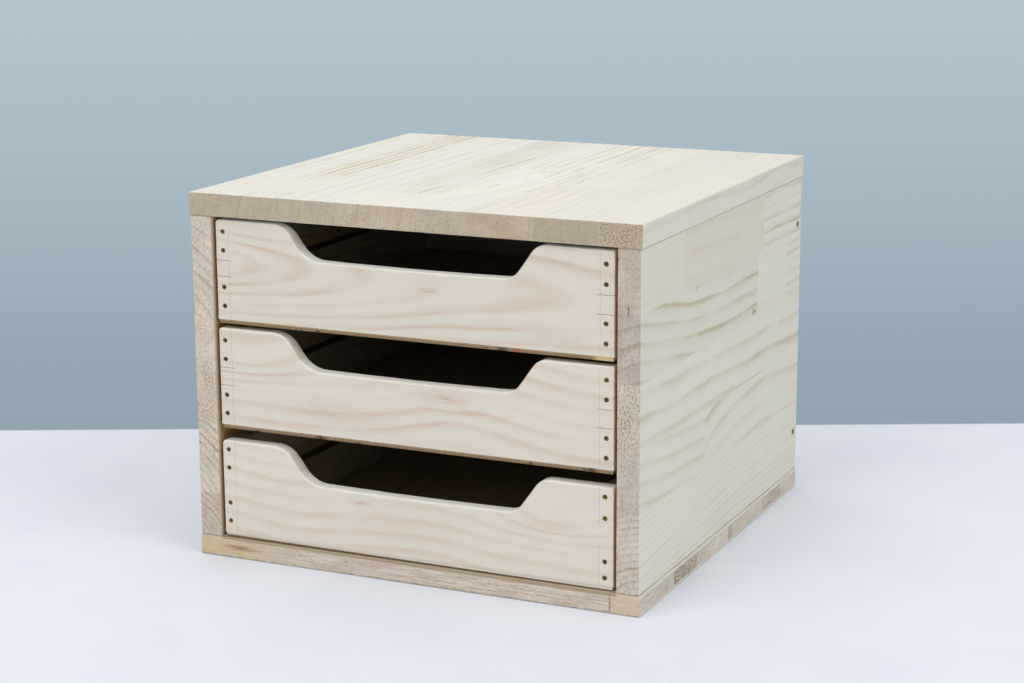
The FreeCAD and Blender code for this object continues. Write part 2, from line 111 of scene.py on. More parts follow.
# %% A socket that does arithmetic
class Wire:
    """One output of a shader node. Arithmetic with it adds Math nodes."""

    def __init__(self, finish, socket):
        self.finish = finish
        self.socket = socket

    def math(self, operation, *others):
        return self.finish.node("ShaderNodeMath", {"operation": operation}, [self, *others])

    def __add__(self, other):
        return self.math("ADD", other)

    def __sub__(self, other):
        return self.math("SUBTRACT", other)

    def __mul__(self, other):
        return self.math("MULTIPLY", other)

    def __truediv__(self, other):
        return self.math("DIVIDE", other)

    def __rsub__(self, other):
        return self.finish.node("ShaderNodeMath", {"operation": "SUBTRACT"}, [other, self])

    __radd__ = __add__
    __rmul__ = __mul__

    def over(self, other):
        return self.math("GREATER_THAN", other)

    def under(self, other):
        return self.math("LESS_THAN", other)

    def ramp(self, start, end, low=0.0, high=1.0):
        """A smooth step from low at start to high at end."""
        settings = {"interpolation_type": "SMOOTHSTEP"}
        return self.finish.node("ShaderNodeMapRange", settings, [self, start, end, low, high])

    def near(self, place, reach):
        """1 where the value is at the place, falling smoothly to 0 at the reach to either side."""
        return (self - place).math("ABSOLUTE").ramp(reach, 0.0)


# %% A material made of such sockets
class Nodes:
    """A node tree that is written in Python."""

    def __init__(self, tree):
        self.tree = tree

    def node(self, kind, settings=None, sockets=(), output=0):
        """Add a node: its settings first, then what goes into its sockets, by number or by name."""
        node = self.tree.nodes.new(kind)
        for name, value in (settings or {}).items():
            if name == "stops":
                self.set_stops(node.color_ramp, value)
            else:
                setattr(node, name, value)
        pairs = sockets.items() if isinstance(sockets, dict) else enumerate(sockets)
        for key, value in pairs:
            if isinstance(value, Wire):
                self.tree.links.new(value.socket, node.inputs[key])
            else:
                node.inputs[key].default_value = value
        return Wire(self, node.outputs[output])

    @staticmethod
    def set_stops(color_ramp, stops):
        while len(color_ramp.elements) < len(stops):
            color_ramp.elements.new(1.0)
        for element, (position, color) in zip(color_ramp.elements, stops):
            element.position = position
            element.color = color

    def split(self, vector):
        """The three numbers of a vector: three wires."""
        return [self.node("ShaderNodeSeparateXYZ", sockets=[vector], output=axis) for axis in range(3)]

    def place(self):
        """Where the point lies in the tray's own frame, in millimetres: three wires."""
        point = self.node("ShaderNodeTexCoord", output=3)
        return [part / MM for part in self.split(point)]

    def facing(self):
        """How squarely the surface faces along X, Y and Z, from 0 to 1: three wires."""
        normal = self.node("ShaderNodeTexCoord", output=1)
        return [part.math("ABSOLUTE") for part in self.split(normal)]

    def noise(self, x, y, z, detail=2.0, roughness=0.5):
        """Perlin noise around 0.5, of one wave per unit of the three values."""
        point = self.node("ShaderNodeCombineXYZ", sockets=[x, y, z])
        sockets = {"Vector": point, "Scale": 1.0, "Detail": detail, "Roughness": roughness}
        return self.node("ShaderNodeTexNoise", {"noise_dimensions": "3D"}, sockets)

    def mix(self, factor, first, second, blend="MIX"):
        """A colour between two colours, or the second laid over the first as the blend says."""
        settings = {"data_type": "RGBA", "blend_type": blend}
        return self.node("ShaderNodeMix", settings, {0: factor, 6: first, 7: second}, output=2)

    def mix_numbers(self, factor, first, second):
        """Three numbers at once, chosen from two sets of three."""
        settings = {"data_type": "VECTOR"}
        return self.node("ShaderNodeMix", settings, {0: factor, 4: first, 5: second}, output=1)

    def scaled(self, colour, factor):
        """A colour made brighter or darker by a factor."""
        return self.node("ShaderNodeVectorMath", {"operation": "SCALE"}, {0: colour, "Scale": factor})

    def bump(self, height):
        """A bumped normal from a height in millimetres."""
        sockets = {"Height": height, "Distance": MM, "Strength": 1.0}
        return self.node("ShaderNodeBump", sockets=sockets)

    def seen(self):
        """1 for what the camera sees, straight or in a mirror or through glass, and 0 for light."""
        rays = ("Is Camera Ray", "Is Glossy Ray", "Is Transmission Ray")
        camera, mirror, glass = (self.node("ShaderNodeLightPath", output=ray) for ray in rays)
        return camera.math("MAXIMUM", mirror).math("MAXIMUM", glass)


class Finish(Nodes):
    """A material, and the nodes that feed its one Principled shader."""

    def __init__(self, name, roughness=0.62, specular=0.3, metallic=0.0):
        self.material = bpy.data.materials.new(name)
        self.material.use_nodes = True
        super().__init__(self.material.node_tree)
        self.shader = self.tree.nodes["Principled BSDF"]
        self.shader.inputs["Roughness"].default_value = roughness
        self.shader.inputs["Specular IOR Level"].default_value = specular
        self.shader.inputs["Metallic"].default_value = metallic

    def feed(self, **sockets):
        """Connect wires to the Principled shader. A socket's name is written with underscores."""
        for name, wire in sockets.items():
            self.tree.links.new(wire.socket, self.shader.inputs[name.replace("_", " ")])
        return self.material


# %% [markdown]
# One board, many boards
#
# The case's panels are glued up from short blocks of pine. Each block came from its own tree, so each has its
# own rings, and the joints between blocks are where the pattern jumps. A block is written down as the stretch
# that it fills and where its tree's heart lay. All lengths are in millimetres, across the panel and along it.
#
# pith: how far across the panel the heart of the tree lies. deep: how far it lies behind the face.
# lean and sweep: how the heart wanders sideways along the board, and how that curves.
# dip: how it sinks or rises along the board, which is what turns parallel lines into cathedral arches.
# dots and arcs: how much its sawn end shows of open fibres and of rings. blur: how softly its rings end.


# %% A block of wood
class Block(NamedTuple):
    low: float = -1000
    high: float = 1000
    near: float = -1000
    far: float = 1000
    pith: float = -60
    deep: float = 30
    ring: float = 7
    lean: float = 0
    sweep: float = 0
    dip: float = 0
    line: float = 0.5
    tone: float = 1.0
    pink: float = 0
    dots: float = 0.5
    arcs: float = 0.4
    blur: float = 0.4


def pick(finish, blocks, across, along, fields):
    """The blocks' values for three fields, as three wires: each later block paints over the earlier ones."""
    chosen = [getattr(blocks[0], field) for field in fields]
    for block in blocks[1:]:
        inside = finish.masks.get(block)
        if inside is None:
            inside = across.over(block.low) * across.under(block.high)
            if block.near > -1000 or block.far < 1000:
                inside = inside * along.over(block.near) * along.under(block.far)
            finish.masks[block] = inside
        values = [getattr(block, field) for field in fields]
        chosen = finish.mix_numbers(inside, chosen, values)
    if isinstance(chosen, list):
        return chosen
    return finish.split(chosen)


# %% [markdown]
# Growth rings
#
# A tree's rings are cylinders round its heart. A board is a cut through them, so the distance from the heart,
# counted in rings, gives every pattern at once: lines where the cut runs beside the heart, arches where it
# rises through the rings, and arcs on the sawn end. Noise makes the rings wander as real ones do. Inside one
# ring the pale early wood darkens slowly and stops at a sharp edge, and that is the line that the eye sees.


# %% Growth rings
class Rings(NamedTuple):
    """What a board shows at a point: its late wood, the same at full strength, and its block's tints."""
    late: Wire
    full: Wire
    tone: Wire
    pink: Wire
    dots: Wire
    arcs: Wire


class Island(NamedTuple):
    """A knot or burl under the surface, which lifts the rings round it into ovals."""
    along: float
    across: float
    length: float
    width: float
    lift: float


class Arch(NamedTuple):
    """A place where the rings swerve sideways and back, as they do beside a branch."""
    along: float
    length: float
    height: float


def growth_rings(finish, blocks, across, depth, along, wander=5.0, islands=(), arches=(), bend=0.0):
    """The rings that a board shows at a point, from its blocks. bend curves the dip along the board."""
    finish.masks = {}
    pith, deep, ring = pick(finish, blocks, across, along, ("pith", "deep", "ring"))
    lean, sweep, dip = pick(finish, blocks, across, along, ("lean", "sweep", "dip"))
    line, tone, pink = pick(finish, blocks, across, along, ("line", "tone", "pink"))
    dots, arcs, blur = pick(finish, blocks, across, along, ("dots", "arcs", "blur"))
    slow = finish.noise(across / 48, depth / 48, along / 130, detail=1.0)
    quick = finish.noise(across / 8, depth / 8, along / 42, detail=2.0)
    sideways = across - pith - along * lean - along * along * sweep
    sideways = sideways + (slow - 0.5) * (2 * wander) + (quick - 0.5) * 1.4
    for arch in arches:
        away = (along - arch.along) / arch.length
        sideways = sideways - (away * away * -1.0).math("EXPONENT") * arch.height
    behind = depth + deep + along * dip
    if bend:
        behind = behind - along * along * bend
    from_heart = (sideways * sideways + behind * behind).math("SQRT")
    count = from_heart / ring
    for island in islands:
        offset_along = (along - island.along) / island.length
        offset_across = (across - island.across) / island.width
        spread = offset_along * offset_along + offset_across * offset_across
        count = count + (spread * -1.0).math("EXPONENT") * island.lift
    within = count.math("FRACT")
    darkening = within.ramp(0.1, 0.9) * 0.3 + within.ramp(0.66 - blur * 0.35, 0.93 - blur * 0.15) * 0.7
    late = darkening * within.ramp(1.0, 0.96 - blur * 0.28)
    each = finish.node("ShaderNodeTexWhiteNoise", {"noise_dimensions": "1D"}, {"W": count.math("FLOOR")})
    fade = finish.noise(across / 26, depth / 26, along / 70, detail=2.0)
    full = late * (each * 0.9 + 0.3) * fade.ramp(0.3, 0.62, 0.2, 1.1)
    return Rings(full * line, full, tone, pink, dots, arcs)


# %% [markdown]
# Sawn ends
#
# Where the saw cut across the grain, the surface is a bed of open fibre ends: rougher, darker and speckled,
# with faint lines that the blade left. The mask is how squarely the surface faces along the grain, so a
# curved edge such as a scoop turns from face grain into end grain by itself.


# %% Bare wood
def bare_wood(finish, rings, end, across, depth, along, early, late_colour, marks=None, speckle=1.0,
              blade=None):
    """Colour, roughness and relief of bare wood, ready on the finish's shader.

    blade is the two directions across and along the saw's scratches on the sawn ends.
    """
    blade_across, blade_along = blade or (across, depth)
    fibre = finish.noise(across / 0.55, depth / 0.55, along / 28, detail=3.0, roughness=0.6)
    broad = finish.noise(across / 34, depth / 34, along / 110, detail=2.0)
    dash = finish.noise(across / 0.9, depth / 0.9, along / 9, detail=1.0)
    canals = dash.ramp(0.66, 0.78)
    grains = finish.noise(across / 1.25, depth / 1.25, along / 6, detail=1.0, roughness=0.6)
    clumps = finish.noise(across / 22, depth / 14, along / 22, detail=1.5)
    saw = finish.noise(blade_across / 1.6, blade_along / 26, along / 40, detail=2.5, roughness=0.6)
    blotch = finish.noise(across / 13, depth / 13, along / 26, detail=2.0)

    face = finish.mix(rings.late, early, late_colour)
    face = finish.mix(canals * 0.2, face, late_colour)
    value = rings.tone * (broad * 0.07 + 0.965) * (fibre * 0.06 + 0.97) * (blotch * 0.04 + 0.98)
    face = finish.scaled(face, value)
    face = finish.mix(rings.pink * blotch.ramp(0.2, 0.7, 0.5, 1.0), face, PINK_TINT, "MULTIPLY")

    open_ends = clumps.ramp(0.38, 0.58, 0.4, 1.0) * (rings.dots + 0.04) * speckle
    mottle = finish.noise(across / 2.6, depth / 2.6, along / 9, detail=3.0, roughness=0.65)
    sawn = finish.mix(rings.full * rings.arcs + mottle.ramp(0.4, 0.68, 0.05, 0.42), END_PALE, END_DARK)
    sawn = finish.mix(blotch.ramp(0.48, 0.68) * 0.45, sawn, END_GREY)
    sawn = finish.mix(rings.pink * clumps.ramp(0.35, 0.6, 0.4, 1.0), sawn, END_PINK)
    sawn = finish.mix(saw.ramp(0.54, 0.7) * 0.5, sawn, END_SCRATCH)
    sawn = finish.mix(saw.ramp(0.46, 0.3) * 0.5, sawn, END_STRAW)
    sawn = finish.mix(open_ends * grains.ramp(0.48, 0.30) * 0.8, sawn, END_PORE)
    sawn = finish.mix(open_ends * grains.ramp(0.52, 0.68) * 0.75, sawn, END_STRAW)
    shine = (rings.tone * 3.5 - 2.5) * (saw * 0.3 + 0.86) * (broad * 0.3 + 0.85) * (clumps * -0.3 + 1.15)
    sawn = finish.scaled(sawn, shine)

    ragged = end + (grains - 0.5) * 0.9
    cut = ragged.ramp(0.42, 0.72)
    colour = finish.mix(cut, face, sawn)
    if marks is not None:
        colour = marks(colour)
    relief = rings.late * 0.03 + fibre * 0.02 - canals * 0.015
    relief = relief + cut * (grains * open_ends * 0.3 + saw * 0.06)
    roughness = 0.56 + fibre * 0.08 + cut * 0.22 - rings.late * 0.05
    return finish.feed(Base_Color=colour, Roughness=roughness, Normal=finish.bump(relief))


# %% [markdown]
# The panels of the case
#
# Now each panel is only a list of its blocks. The top is seen best, so its blocks follow the real ones: a
# pinkish streak on the left, a greyer strip, a bright strip with arches, and fine dark lines that end at a
# butt joint.


# %% Blocks of the top and the sides
TOP_BLOCKS = (
    Block(pith=-70, deep=40, ring=9, line=0.25, tone=0.985, pink=0.25, dots=0.25, arcs=0.45),
    Block(low=0, high=73, near=93, pith=-30, deep=60, ring=6.5, line=1.0, tone=0.985, pink=0.5, blur=0.7),
    Block(low=0, high=38, near=93, pith=-90, deep=60, ring=11, line=0.4, tone=0.98),
    Block(low=73, high=132, pith=200, deep=20, ring=14, line=0.3, tone=0.985, dots=0.2, arcs=0.15),
    Block(low=132, high=182, pith=60, deep=15, ring=5.5, lean=0.02, line=0.8, tone=0.965),
    Block(low=182, high=241, pith=186, deep=-14, ring=6.2, dip=0.15, lean=0.17, line=0.5, tone=1.03),
    Block(low=182, high=241, near=215, pith=260, deep=40, ring=7, line=0.6, tone=1.01),
    Block(low=132, high=196, far=62, pith=100, deep=15, ring=9, line=0.3, tone=1.02, pink=0.3, arcs=0.3),
    Block(low=196, high=241, far=78, pith=260, deep=30, ring=10, line=0.25, tone=0.99, dots=0.5, arcs=0.1),
    Block(low=241, high=288, pith=150, deep=10, ring=5.6, line=0.85, tone=1.0, pink=0.1),
    Block(low=241, high=293, far=141, pith=150, deep=10, ring=12, line=0.3, tone=0.995, pink=0.6, arcs=0.2),
    Block(low=293, high=345, pith=420, deep=30, ring=9, line=0.22, tone=0.955, pink=0.2, dots=0.2, arcs=0.2),
    Block(low=345, high=400, pith=470, deep=30, ring=5.5, line=0.28, tone=0.985, pink=0.4, dots=1.8,
          arcs=0.3),
)
TOP_JOINTS = (76, 131, 196, 293, 345)
RIGHT_BLOCKS = (
    Block(pith=-60, deep=30, ring=5.2, line=0.44, sweep=-0.00006, lean=0.055, tone=1.015, dots=0.2, arcs=0.7),
    Block(low=228, high=300, pith=330, deep=-8, ring=7, line=0.10, tone=0.99, pink=0.4, dots=0.3, arcs=0.4),
    Block(low=228, high=300, near=90, far=275, pith=215, deep=15, ring=16, dip=0.05, line=0.2,
          tone=0.975, pink=0.6, blur=0.6),
    Block(low=228, high=300, near=275, pith=300, deep=20, ring=9, line=0.7, blur=0.4),
    Block(low=176, high=228, pith=20, deep=70, ring=12.6, lean=-0.20, sweep=0.00047, line=0.8, tone=0.97,
          pink=0.15, dots=0.2, arcs=0.5),
    Block(low=176, high=228, near=263, pith=140, deep=50, ring=17, line=0.14, tone=1.01),
    Block(low=176, high=228, near=338, pith=100, deep=20, ring=8.5, line=0.6, blur=0.5),
    Block(low=125, high=176, pith=-40, deep=40, ring=18, lean=-0.03, line=0.75, dots=1.2, arcs=0.15,
          blur=0.5),
    Block(low=78, high=125, pith=-30, deep=20, ring=13.5, lean=-0.085, line=0.55, tone=0.99, dots=0.5,
          arcs=0.25, blur=0.5),
    Block(low=78, high=125, near=140, pith=-60, deep=10, ring=18, lean=0.50, sweep=-0.00085, line=0.65,
          blur=0.6),
)
LEFT_BLOCKS = (
    Block(pith=-10, deep=34, ring=4.6, line=0.4, tone=1.0, pink=0.4, dots=0.25, arcs=0.9),
    Block(low=52, high=109, pith=26, deep=42, ring=5.4, lean=0.03, line=0.5, tone=1.03, dots=0.2, arcs=0.8),
    Block(low=52, high=109, near=170, pith=30, deep=40, ring=12, lean=-0.05, line=0.5, blur=0.7),
    Block(low=109, high=152, pith=170, deep=20, ring=9, lean=0.06, line=0.5, tone=1.02, pink=0.4, dots=0.9,
          arcs=0.15),
    Block(low=152, high=195, pith=230, deep=40, ring=13, line=0.4, tone=1.035, pink=0.15, dots=0.6, arcs=0.25,
          blur=0.6),
    Block(low=195, high=300, pith=140, deep=60, ring=8, line=0.35, tone=1.03, dots=0.25, arcs=0.6, blur=0.6),
    Block(low=238, high=300, near=110, pith=150, deep=30, ring=11, dip=0.05, line=0.5, blur=0.6),
)
print(len(TOP_BLOCKS), "blocks in the top,", len(RIGHT_BLOCKS) + len(LEFT_BLOCKS), "in the sides")


# %% Materials of the panels
# A painted sheen, a wavy highlight on the top: its middle across and along, and its reach.
PAINTED_SHEEN_PLACE, PAINTED_SHEEN_REACH = (212, 155), (34, 95)
# Each stain on the right side: its middle along and up, its reach, and how strong it is.
FACE_SPOTS = (((254, 181), (9, 3.4), 0.9), ((116, 226), (4, 3), 0.6), ((250, 196), (14, 2.4), 0.35))
RESIN_PLACE, RESIN_REACH = (179, 230), (1.5, 7)
REAR_SCREWS_ALONG = 367
REAR_SCREWS_UP = (51, 236)


def spot(first, second, at, reach):
    """A soft oval spot as a mask: where two values are close to a place, within a reach for each."""
    return first.near(at[0], reach[0]) * second.near(at[1], reach[1])


def top_panel_finish():
    finish = Finish("top_panel_pine")
    x, y, z = finish.place()
    low, high = (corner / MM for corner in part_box("top_board"))
    across, along, depth = x - low.x, y - low.y, high.z - z
    rings = growth_rings(finish, TOP_BLOCKS, across, depth, along)
    end = finish.facing()[1]

    def joints(colour):
        for joint in TOP_JOINTS:
            colour = finish.mix(across.near(joint, 0.7) * end * 0.45, colour, shade(232, 220, 202))
        colour = finish.mix(end * 0.38, colour, shade(184, 163, 124))
        # A painted sheen: a wavy highlight, lighter, laid over a strip of the top's face.
        painted_sheen = finish.noise(across / 9 + along / 60, along / 24, 0.0, detail=1.0).ramp(0.42, 0.68)
        strip = spot(across, along, PAINTED_SHEEN_PLACE, PAINTED_SHEEN_REACH) * (1 - end)
        return finish.mix(painted_sheen * strip * 0.2, colour, shade(248, 246, 240))

    return bare_wood(finish, rings, end, across, depth, along, TOP_CREAM, TOP_LATE, marks=joints)


def side_panel_finish(node, blocks, outward):
    """The pine of one side board. outward is 1 on the right and -1 on the left."""
    finish = Finish(node + "_pine")
    x, y, z = finish.place()
    low, high = (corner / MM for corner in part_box(node))
    outer_face = high.x if outward > 0 else low.x
    across, along, depth = z, y - low.y, (outer_face - x) * outward
    rings = growth_rings(finish, blocks, across, depth, along)
    end = finish.facing()[1]

    def stains_and_painted_shade(colour):
        if outward > 0:
            smear = finish.noise(y / 6, z / 1.5, 0.0, detail=2.0).ramp(0.3, 0.6)
            for at, reach, strength in FACE_SPOTS:
                stain = spot(along, z, at, reach) * smear * strength
                colour = finish.mix(stain, colour, shade(142, 108, 76))
            resin = spot(x, z, RESIN_PLACE, RESIN_REACH) * end * smear
            colour = finish.mix(resin * 0.9, colour, shade(150, 84, 66))
        for screw_up in REAR_SCREWS_UP:
            damp = finish.noise(y / 3, z / 3, 0.0).ramp(0.35, 0.6)
            rust = spot(along, z, (REAR_SCREWS_ALONG, screw_up), (7, 6)) * damp
            colour = finish.mix(rust * 0.7, colour, shade(150, 104, 66))
        squeezed_out = z.near(high.z, 1.5) * finish.noise(y / 35, z, 0.0).ramp(0.3, 0.55, 0.25, 1.0)
        colour = finish.mix(squeezed_out * 0.75, colour, shade(150, 134, 96))
        # Painted shadow: a dark line along the foot of each side, where it meets the bottom board.
        under = z.near(low.z, 1.3) * finish.noise(y / 60, x / 60, 0.0).ramp(0.3, 0.6, 0.35, 0.95)
        colour = finish.mix(under, colour, shade(88, 70, 56))
        # A tan tint on the inner face near the front, darker deeper into the gap: painted shade between side
        # and drawer.
        gap_tint_and_shade = (depth - (high.x - low.x)).near(0.0, 0.7) * along.ramp(60, 30)
        return finish.mix(gap_tint_and_shade * along.ramp(0, 7, 0.3, 0.95), colour, shade(190, 152, 100))

    return bare_wood(
        finish, rings, end, across, depth, along, CREAM, LATE_WOOD, marks=stains_and_painted_shade, blade=(depth, across)
    )


BACK_BLOCKS = (
    Block(pith=-50, deep=40, ring=9, line=0.45),
    Block(low=70, high=128, pith=40, deep=10, ring=7, dip=0.06, line=0.5, tone=0.98),
    Block(low=128, high=185, pith=220, deep=40, ring=13, lean=0.05, line=0.6),
    Block(low=128, high=185, near=40, pith=90, deep=25, ring=10, line=0.35, tone=0.985, pink=0.5),
    Block(low=185, high=238, pith=150, deep=8, ring=6, dip=-0.05, line=0.45, tone=1.01),
    Block(low=238, high=300, pith=320, deep=40, ring=10, line=0.5, tone=0.985),
)


def back_panel_finish():
    finish = Finish("back_panel_pine")
    x, y, z = finish.place()
    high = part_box("back_board")[1] / MM
    rings = growth_rings(finish, BACK_BLOCKS, z, high.y - y, x)
    end = finish.facing()[0]
    return bare_wood(finish, rings, end, z, high.y - y, x, CREAM, LATE_WOOD)


# %% [markdown]
# Blockboard
#
# The bottom is blockboard: a core of sawn strips between two veneers. Its faces are calm veneer, but its
# edges tell how it is made: a pale line of veneer above and below, and between them the strips, whose sawn
# ends differ in colour from one strip to the next.

# %% The bottom board
CORE_STRIPS = (
    Block(pith=20, deep=30, ring=5, line=0.4, tone=1.01, pink=0.1, dots=0.2),
    Block(low=58, high=71, tone=1.025, ring=6, line=0.2, dots=0.1),
    Block(low=71, high=122, pith=60, deep=6, ring=2.4, line=1.0, tone=0.935, dots=2.0, arcs=0.7),
    Block(low=122, high=166, pith=160, deep=20, ring=4, line=0.4, tone=1.015, pink=0.3, dots=0.2),
    Block(low=166, high=195, tone=1.03, ring=5, line=0.3, dots=0.2),
    Block(low=195, high=206, tone=0.95, ring=3, line=0.9, dots=1.2, arcs=0.7),
    Block(low=206, high=280, pith=240, deep=9, ring=4.5, line=0.45, tone=1.015, pink=0.3, dots=0.2),
    Block(low=280, high=330, pith=300, deep=25, ring=3.2, line=0.8, tone=0.965, pink=0.6, dots=1.0),
    Block(low=330, high=400, tone=1.01, ring=6, line=0.35, dots=0.3),
)
VENEER = 2.4
# Where the last strip at the right corner begins, and where the board's front edge is burnt.
CORNER_JOINT = 165.5
BURNT_PLACE, BURNT_REACH = (-152, 8.5), (30, 3.6)
# The top of the front edge, below the bottom drawer, is darker brown above a height that falls to the right.
LIP_LEVEL, LIP_SLOPE = 13.8, 0.0027


def blockboard_finish():
    finish = Finish("blockboard")
    x, y, z = finish.place()
    low, high = (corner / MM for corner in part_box("bottom_board"))
    across, depth, along = y - low.y, high.z - z, x
    rings = growth_rings(finish, CORE_STRIPS, across, depth, along, wander=3.0)
    faces_x, faces_y, _ = finish.facing()

    def veneers(colour):
        sawn_side = faces_y.ramp(0.4, 0.8)
        streaks = finish.noise(across / 3, depth / 1.6, along / 30, detail=3.0, roughness=0.6)
        patches = finish.noise(across / 20, depth / 9, along / 26, detail=2.0)
        fuzz = finish.noise(across / 1.2, depth / 1.3, along / 5, detail=3.0, roughness=0.65)
        long_grain = finish.mix(streaks.ramp(0.38, 0.62), shade(232, 221, 204), shade(212, 194, 174))
        long_grain = finish.mix(patches.ramp(0.48, 0.66) * 0.4, long_grain, shade(204, 178, 160))
        long_grain = finish.mix(fuzz.ramp(0.54, 0.7) * 0.6, long_grain, shade(164, 136, 116))
        long_grain = finish.mix(fuzz.ramp(0.44, 0.32) * 0.6, long_grain, shade(236, 226, 210))
        colour = finish.mix(sawn_side, colour, long_grain)
        greyed = faces_x * (1 - sawn_side) * (0.34 - rings.arcs * 0.45)
        colour = finish.mix(greyed, colour, shade(226, 226, 224))
        corner = x.over(CORNER_JOINT) * sawn_side * fuzz.ramp(0.68, 0.5)
        colour = finish.mix(corner * 0.7, colour, shade(228, 203, 172))
        crack = x.near(CORNER_JOINT, 1.3) * sawn_side * fuzz.ramp(0.35, 0.5)
        colour = finish.mix(crack * 0.8, colour, shade(126, 92, 70))
        stained = (x + patches * 60).ramp(-70, -140) * streaks.ramp(0.30, 0.55, 0.45, 1.0) * sawn_side
        colour = finish.mix(stained * 0.6, colour, shade(224, 196, 136))
        burnt = spot(x, z, BURNT_PLACE, BURNT_REACH) * streaks.ramp(0.32, 0.52) * sawn_side
        colour = finish.mix(burnt * 0.8, colour, shade(166, 116, 84))
        ragged_foot = z.near(low.z + 0.4, 1.6) * fuzz.ramp(0.42, 0.6) * sawn_side
        colour = finish.mix(ragged_foot * 0.7, colour, shade(120, 100, 84))
        skin = z.over(high.z - VENEER).math("MAXIMUM", z.under(low.z + VENEER))
        veneer = finish.noise(x / 70, y / 2.4, z, detail=3.0).ramp(0.35, 0.7)
        pale = finish.mix(veneer * 0.4, CREAM, LATE_WOOD)
        seam = z.near(high.z - VENEER, 0.25) + z.near(low.z + VENEER, 0.25)
        colour = finish.mix(skin * (1 - sawn_side * 0.8), colour, pale)
        # Darker brown along the top of the front edge, below the bottom drawer.
        brown_lip_band = (z + x * LIP_SLOPE).ramp(LIP_LEVEL, LIP_LEVEL + 0.5) * y.under(low.y + 3)
        brown_lip_band = brown_lip_band * x.math("ABSOLUTE").under(high.x - 19)
        colour = finish.mix(brown_lip_band * 0.85, colour, shade(172, 150, 122))
        return finish.mix(seam * (0.45 - sawn_side * 0.2), colour, END_DARK)

    return bare_wood(finish, rings, faces_x, across, depth, along, CREAM, LATE_WOOD, marks=veneers)


# %% [markdown]
# The boards of the drawers
#
# Each drawer front is one wide board, cut flat from near the heart, so it shows tall arches lying on their
# side. A knot just under the surface pushes the rings apart: an island in the pattern. The marks that the
# maker left are part of the look: a pencil line for the screws, and two short ones where the slot begins and
# ends.


# %% Pencil marks
class Marks(NamedTuple):
    """Where the short lines lie, and where the long ones pause, in millimetres below the front's top."""
    left_slot: tuple = ()
    right_slot: tuple = ()
    left_gap: tuple = ()
    right_gap: tuple = ()


SCREW_LINE = 11.3
STROKE_END = 14.0
LINE_WIDTH = 0.32


def pencil(finish, x, z, half_width, top, marks):
    """The pencil lines on a drawer front, as a mask."""
    hand = (finish.noise(x / 30, z / 30, 0.0, detail=1.0) - 0.5) * 0.8
    grain = finish.noise(x / 0.5, z / 0.5, 0.0, detail=2.0).ramp(0.3, 0.62)
    drawn = None
    for side, slots, gap in ((-1, marks.left_slot, marks.left_gap), (1, marks.right_slot, marks.right_gap)):
        line = (x + hand * 0.5).near(side * (half_width - SCREW_LINE), LINE_WIDTH) * 0.6
        if gap:
            upper, lower = gap
            line = line * (1 - z.under(top - upper) * z.over(top - lower))
        drawn = line if drawn is None else drawn + line
        for below in slots:
            stroke = (z + hand).near(top - below, LINE_WIDTH * 1.4)
            drawn = drawn + stroke * (x * side).over(half_width - STROKE_END) * 1.4
    return drawn * grain


# %% Finishes of the drawer fronts
FRONT_BLOCKS = {
    "top": Block(pith=46, deep=5.6, ring=7.2, dip=0.20, lean=-0.015, line=0.54, blur=0.8),
    "middle": Block(pith=-22, deep=14, ring=11.5, dip=0.02, lean=0.01, line=0.47, tone=1.015, blur=0.9),
    "bottom": Block(pith=-70, deep=30, ring=12, dip=0.02, lean=-0.02, line=0.42, tone=1.035, blur=0.9),
}
FRONT_BEND = {"top": 0.00026, "middle": 0.0, "bottom": 0.0}
FRONT_ISLANDS = {
    "top": (),
    "middle": (Island(206, 38, 15, 8, 0.75), Island(20, 52, 62, 15, 1.3)),
    "bottom": (Island(289, 46, 42, 15, 1.5),),
}
FRONT_ARCHES = {
    "top": (),
    "middle": (Arch(208, 62, 15),),
    "bottom": (Arch(60, 40, -5), Arch(170, 50, 5)),
}
RESIN_TAN = shade(206, 168, 132)
# Each resin streak: its middle across and up, its length, and how strong it is.
FRONT_STREAKS = {
    "top": ((16, 232, 12, 0.7), (120, 205, 40, 0.25), (-132, 236, 50, 0.2)),
    "middle": ((30, 150, 30, 0.5), (52, 141, 22, 0.45), (-60, 128, 60, 0.3), (40, 162, 60, 0.2)),
    "bottom": ((-43, 59, 14, 0.6), (118, 61, 40, 0.25), (-20, 44, 80, 0.15)),
}
FRONT_MARKS = {
    "top": Marks((32, 44.75), (33.25, 47.5), (0, 11), ()),
    "middle": Marks((32.75, 47), (33.5, 47.5), (), ()),
    "bottom": Marks((), (), (), (32.5, 46.5)),
}


def front_finish(place):
    finish = Finish(place + "_front_pine")
    x, y, z = finish.place()
    low, high = (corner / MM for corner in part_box(place + "_drawer_front"))
    across, depth, along = z - low.z, y - low.y, x - low.x
    rings = growth_rings(
        finish, (FRONT_BLOCKS[place],), across, depth, along, wander=5.0,
        islands=FRONT_ISLANDS[place], arches=FRONT_ARCHES[place], bend=FRONT_BEND[place],
    )
    end, _, upward = finish.facing()
    on_face = depth.under(1.0)

    def drawn(colour):
        # Surfaces that face up are painted lighter: a painted highlight where light falls on them from above.
        colour = finish.mix(upward.ramp(0.45, 0.9) * 0.85, colour, shade(253, 250, 243))
        outer_end = x.math("ABSOLUTE").over(high.x - 1.5) * end * depth.ramp(0.6, 1.6)
        colour = finish.mix(outer_end * 0.8, colour, shade(228, 186, 142))
        for streak_x, streak_z, length, strength in FRONT_STREAKS[place]:
            smear = finish.noise(x / 9, z / 1.6, 0.0, detail=2.0).ramp(0.35, 0.65, 0.3, 1.0)
            streak = spot(x, z, (streak_x, streak_z), (length, length * 0.22)) * smear
            colour = finish.mix(streak * strength, colour, RESIN_TAN)
        lines = pencil(finish, x, z, high.x, high.z, FRONT_MARKS[place])
        return finish.mix(lines.math("MINIMUM", 1.0) * on_face * 0.85, colour, PENCIL)

    return bare_wood(
        finish, rings, end, across, depth, along, FRONT_CREAM, FRONT_LATE, marks=drawn, speckle=0.7
    )


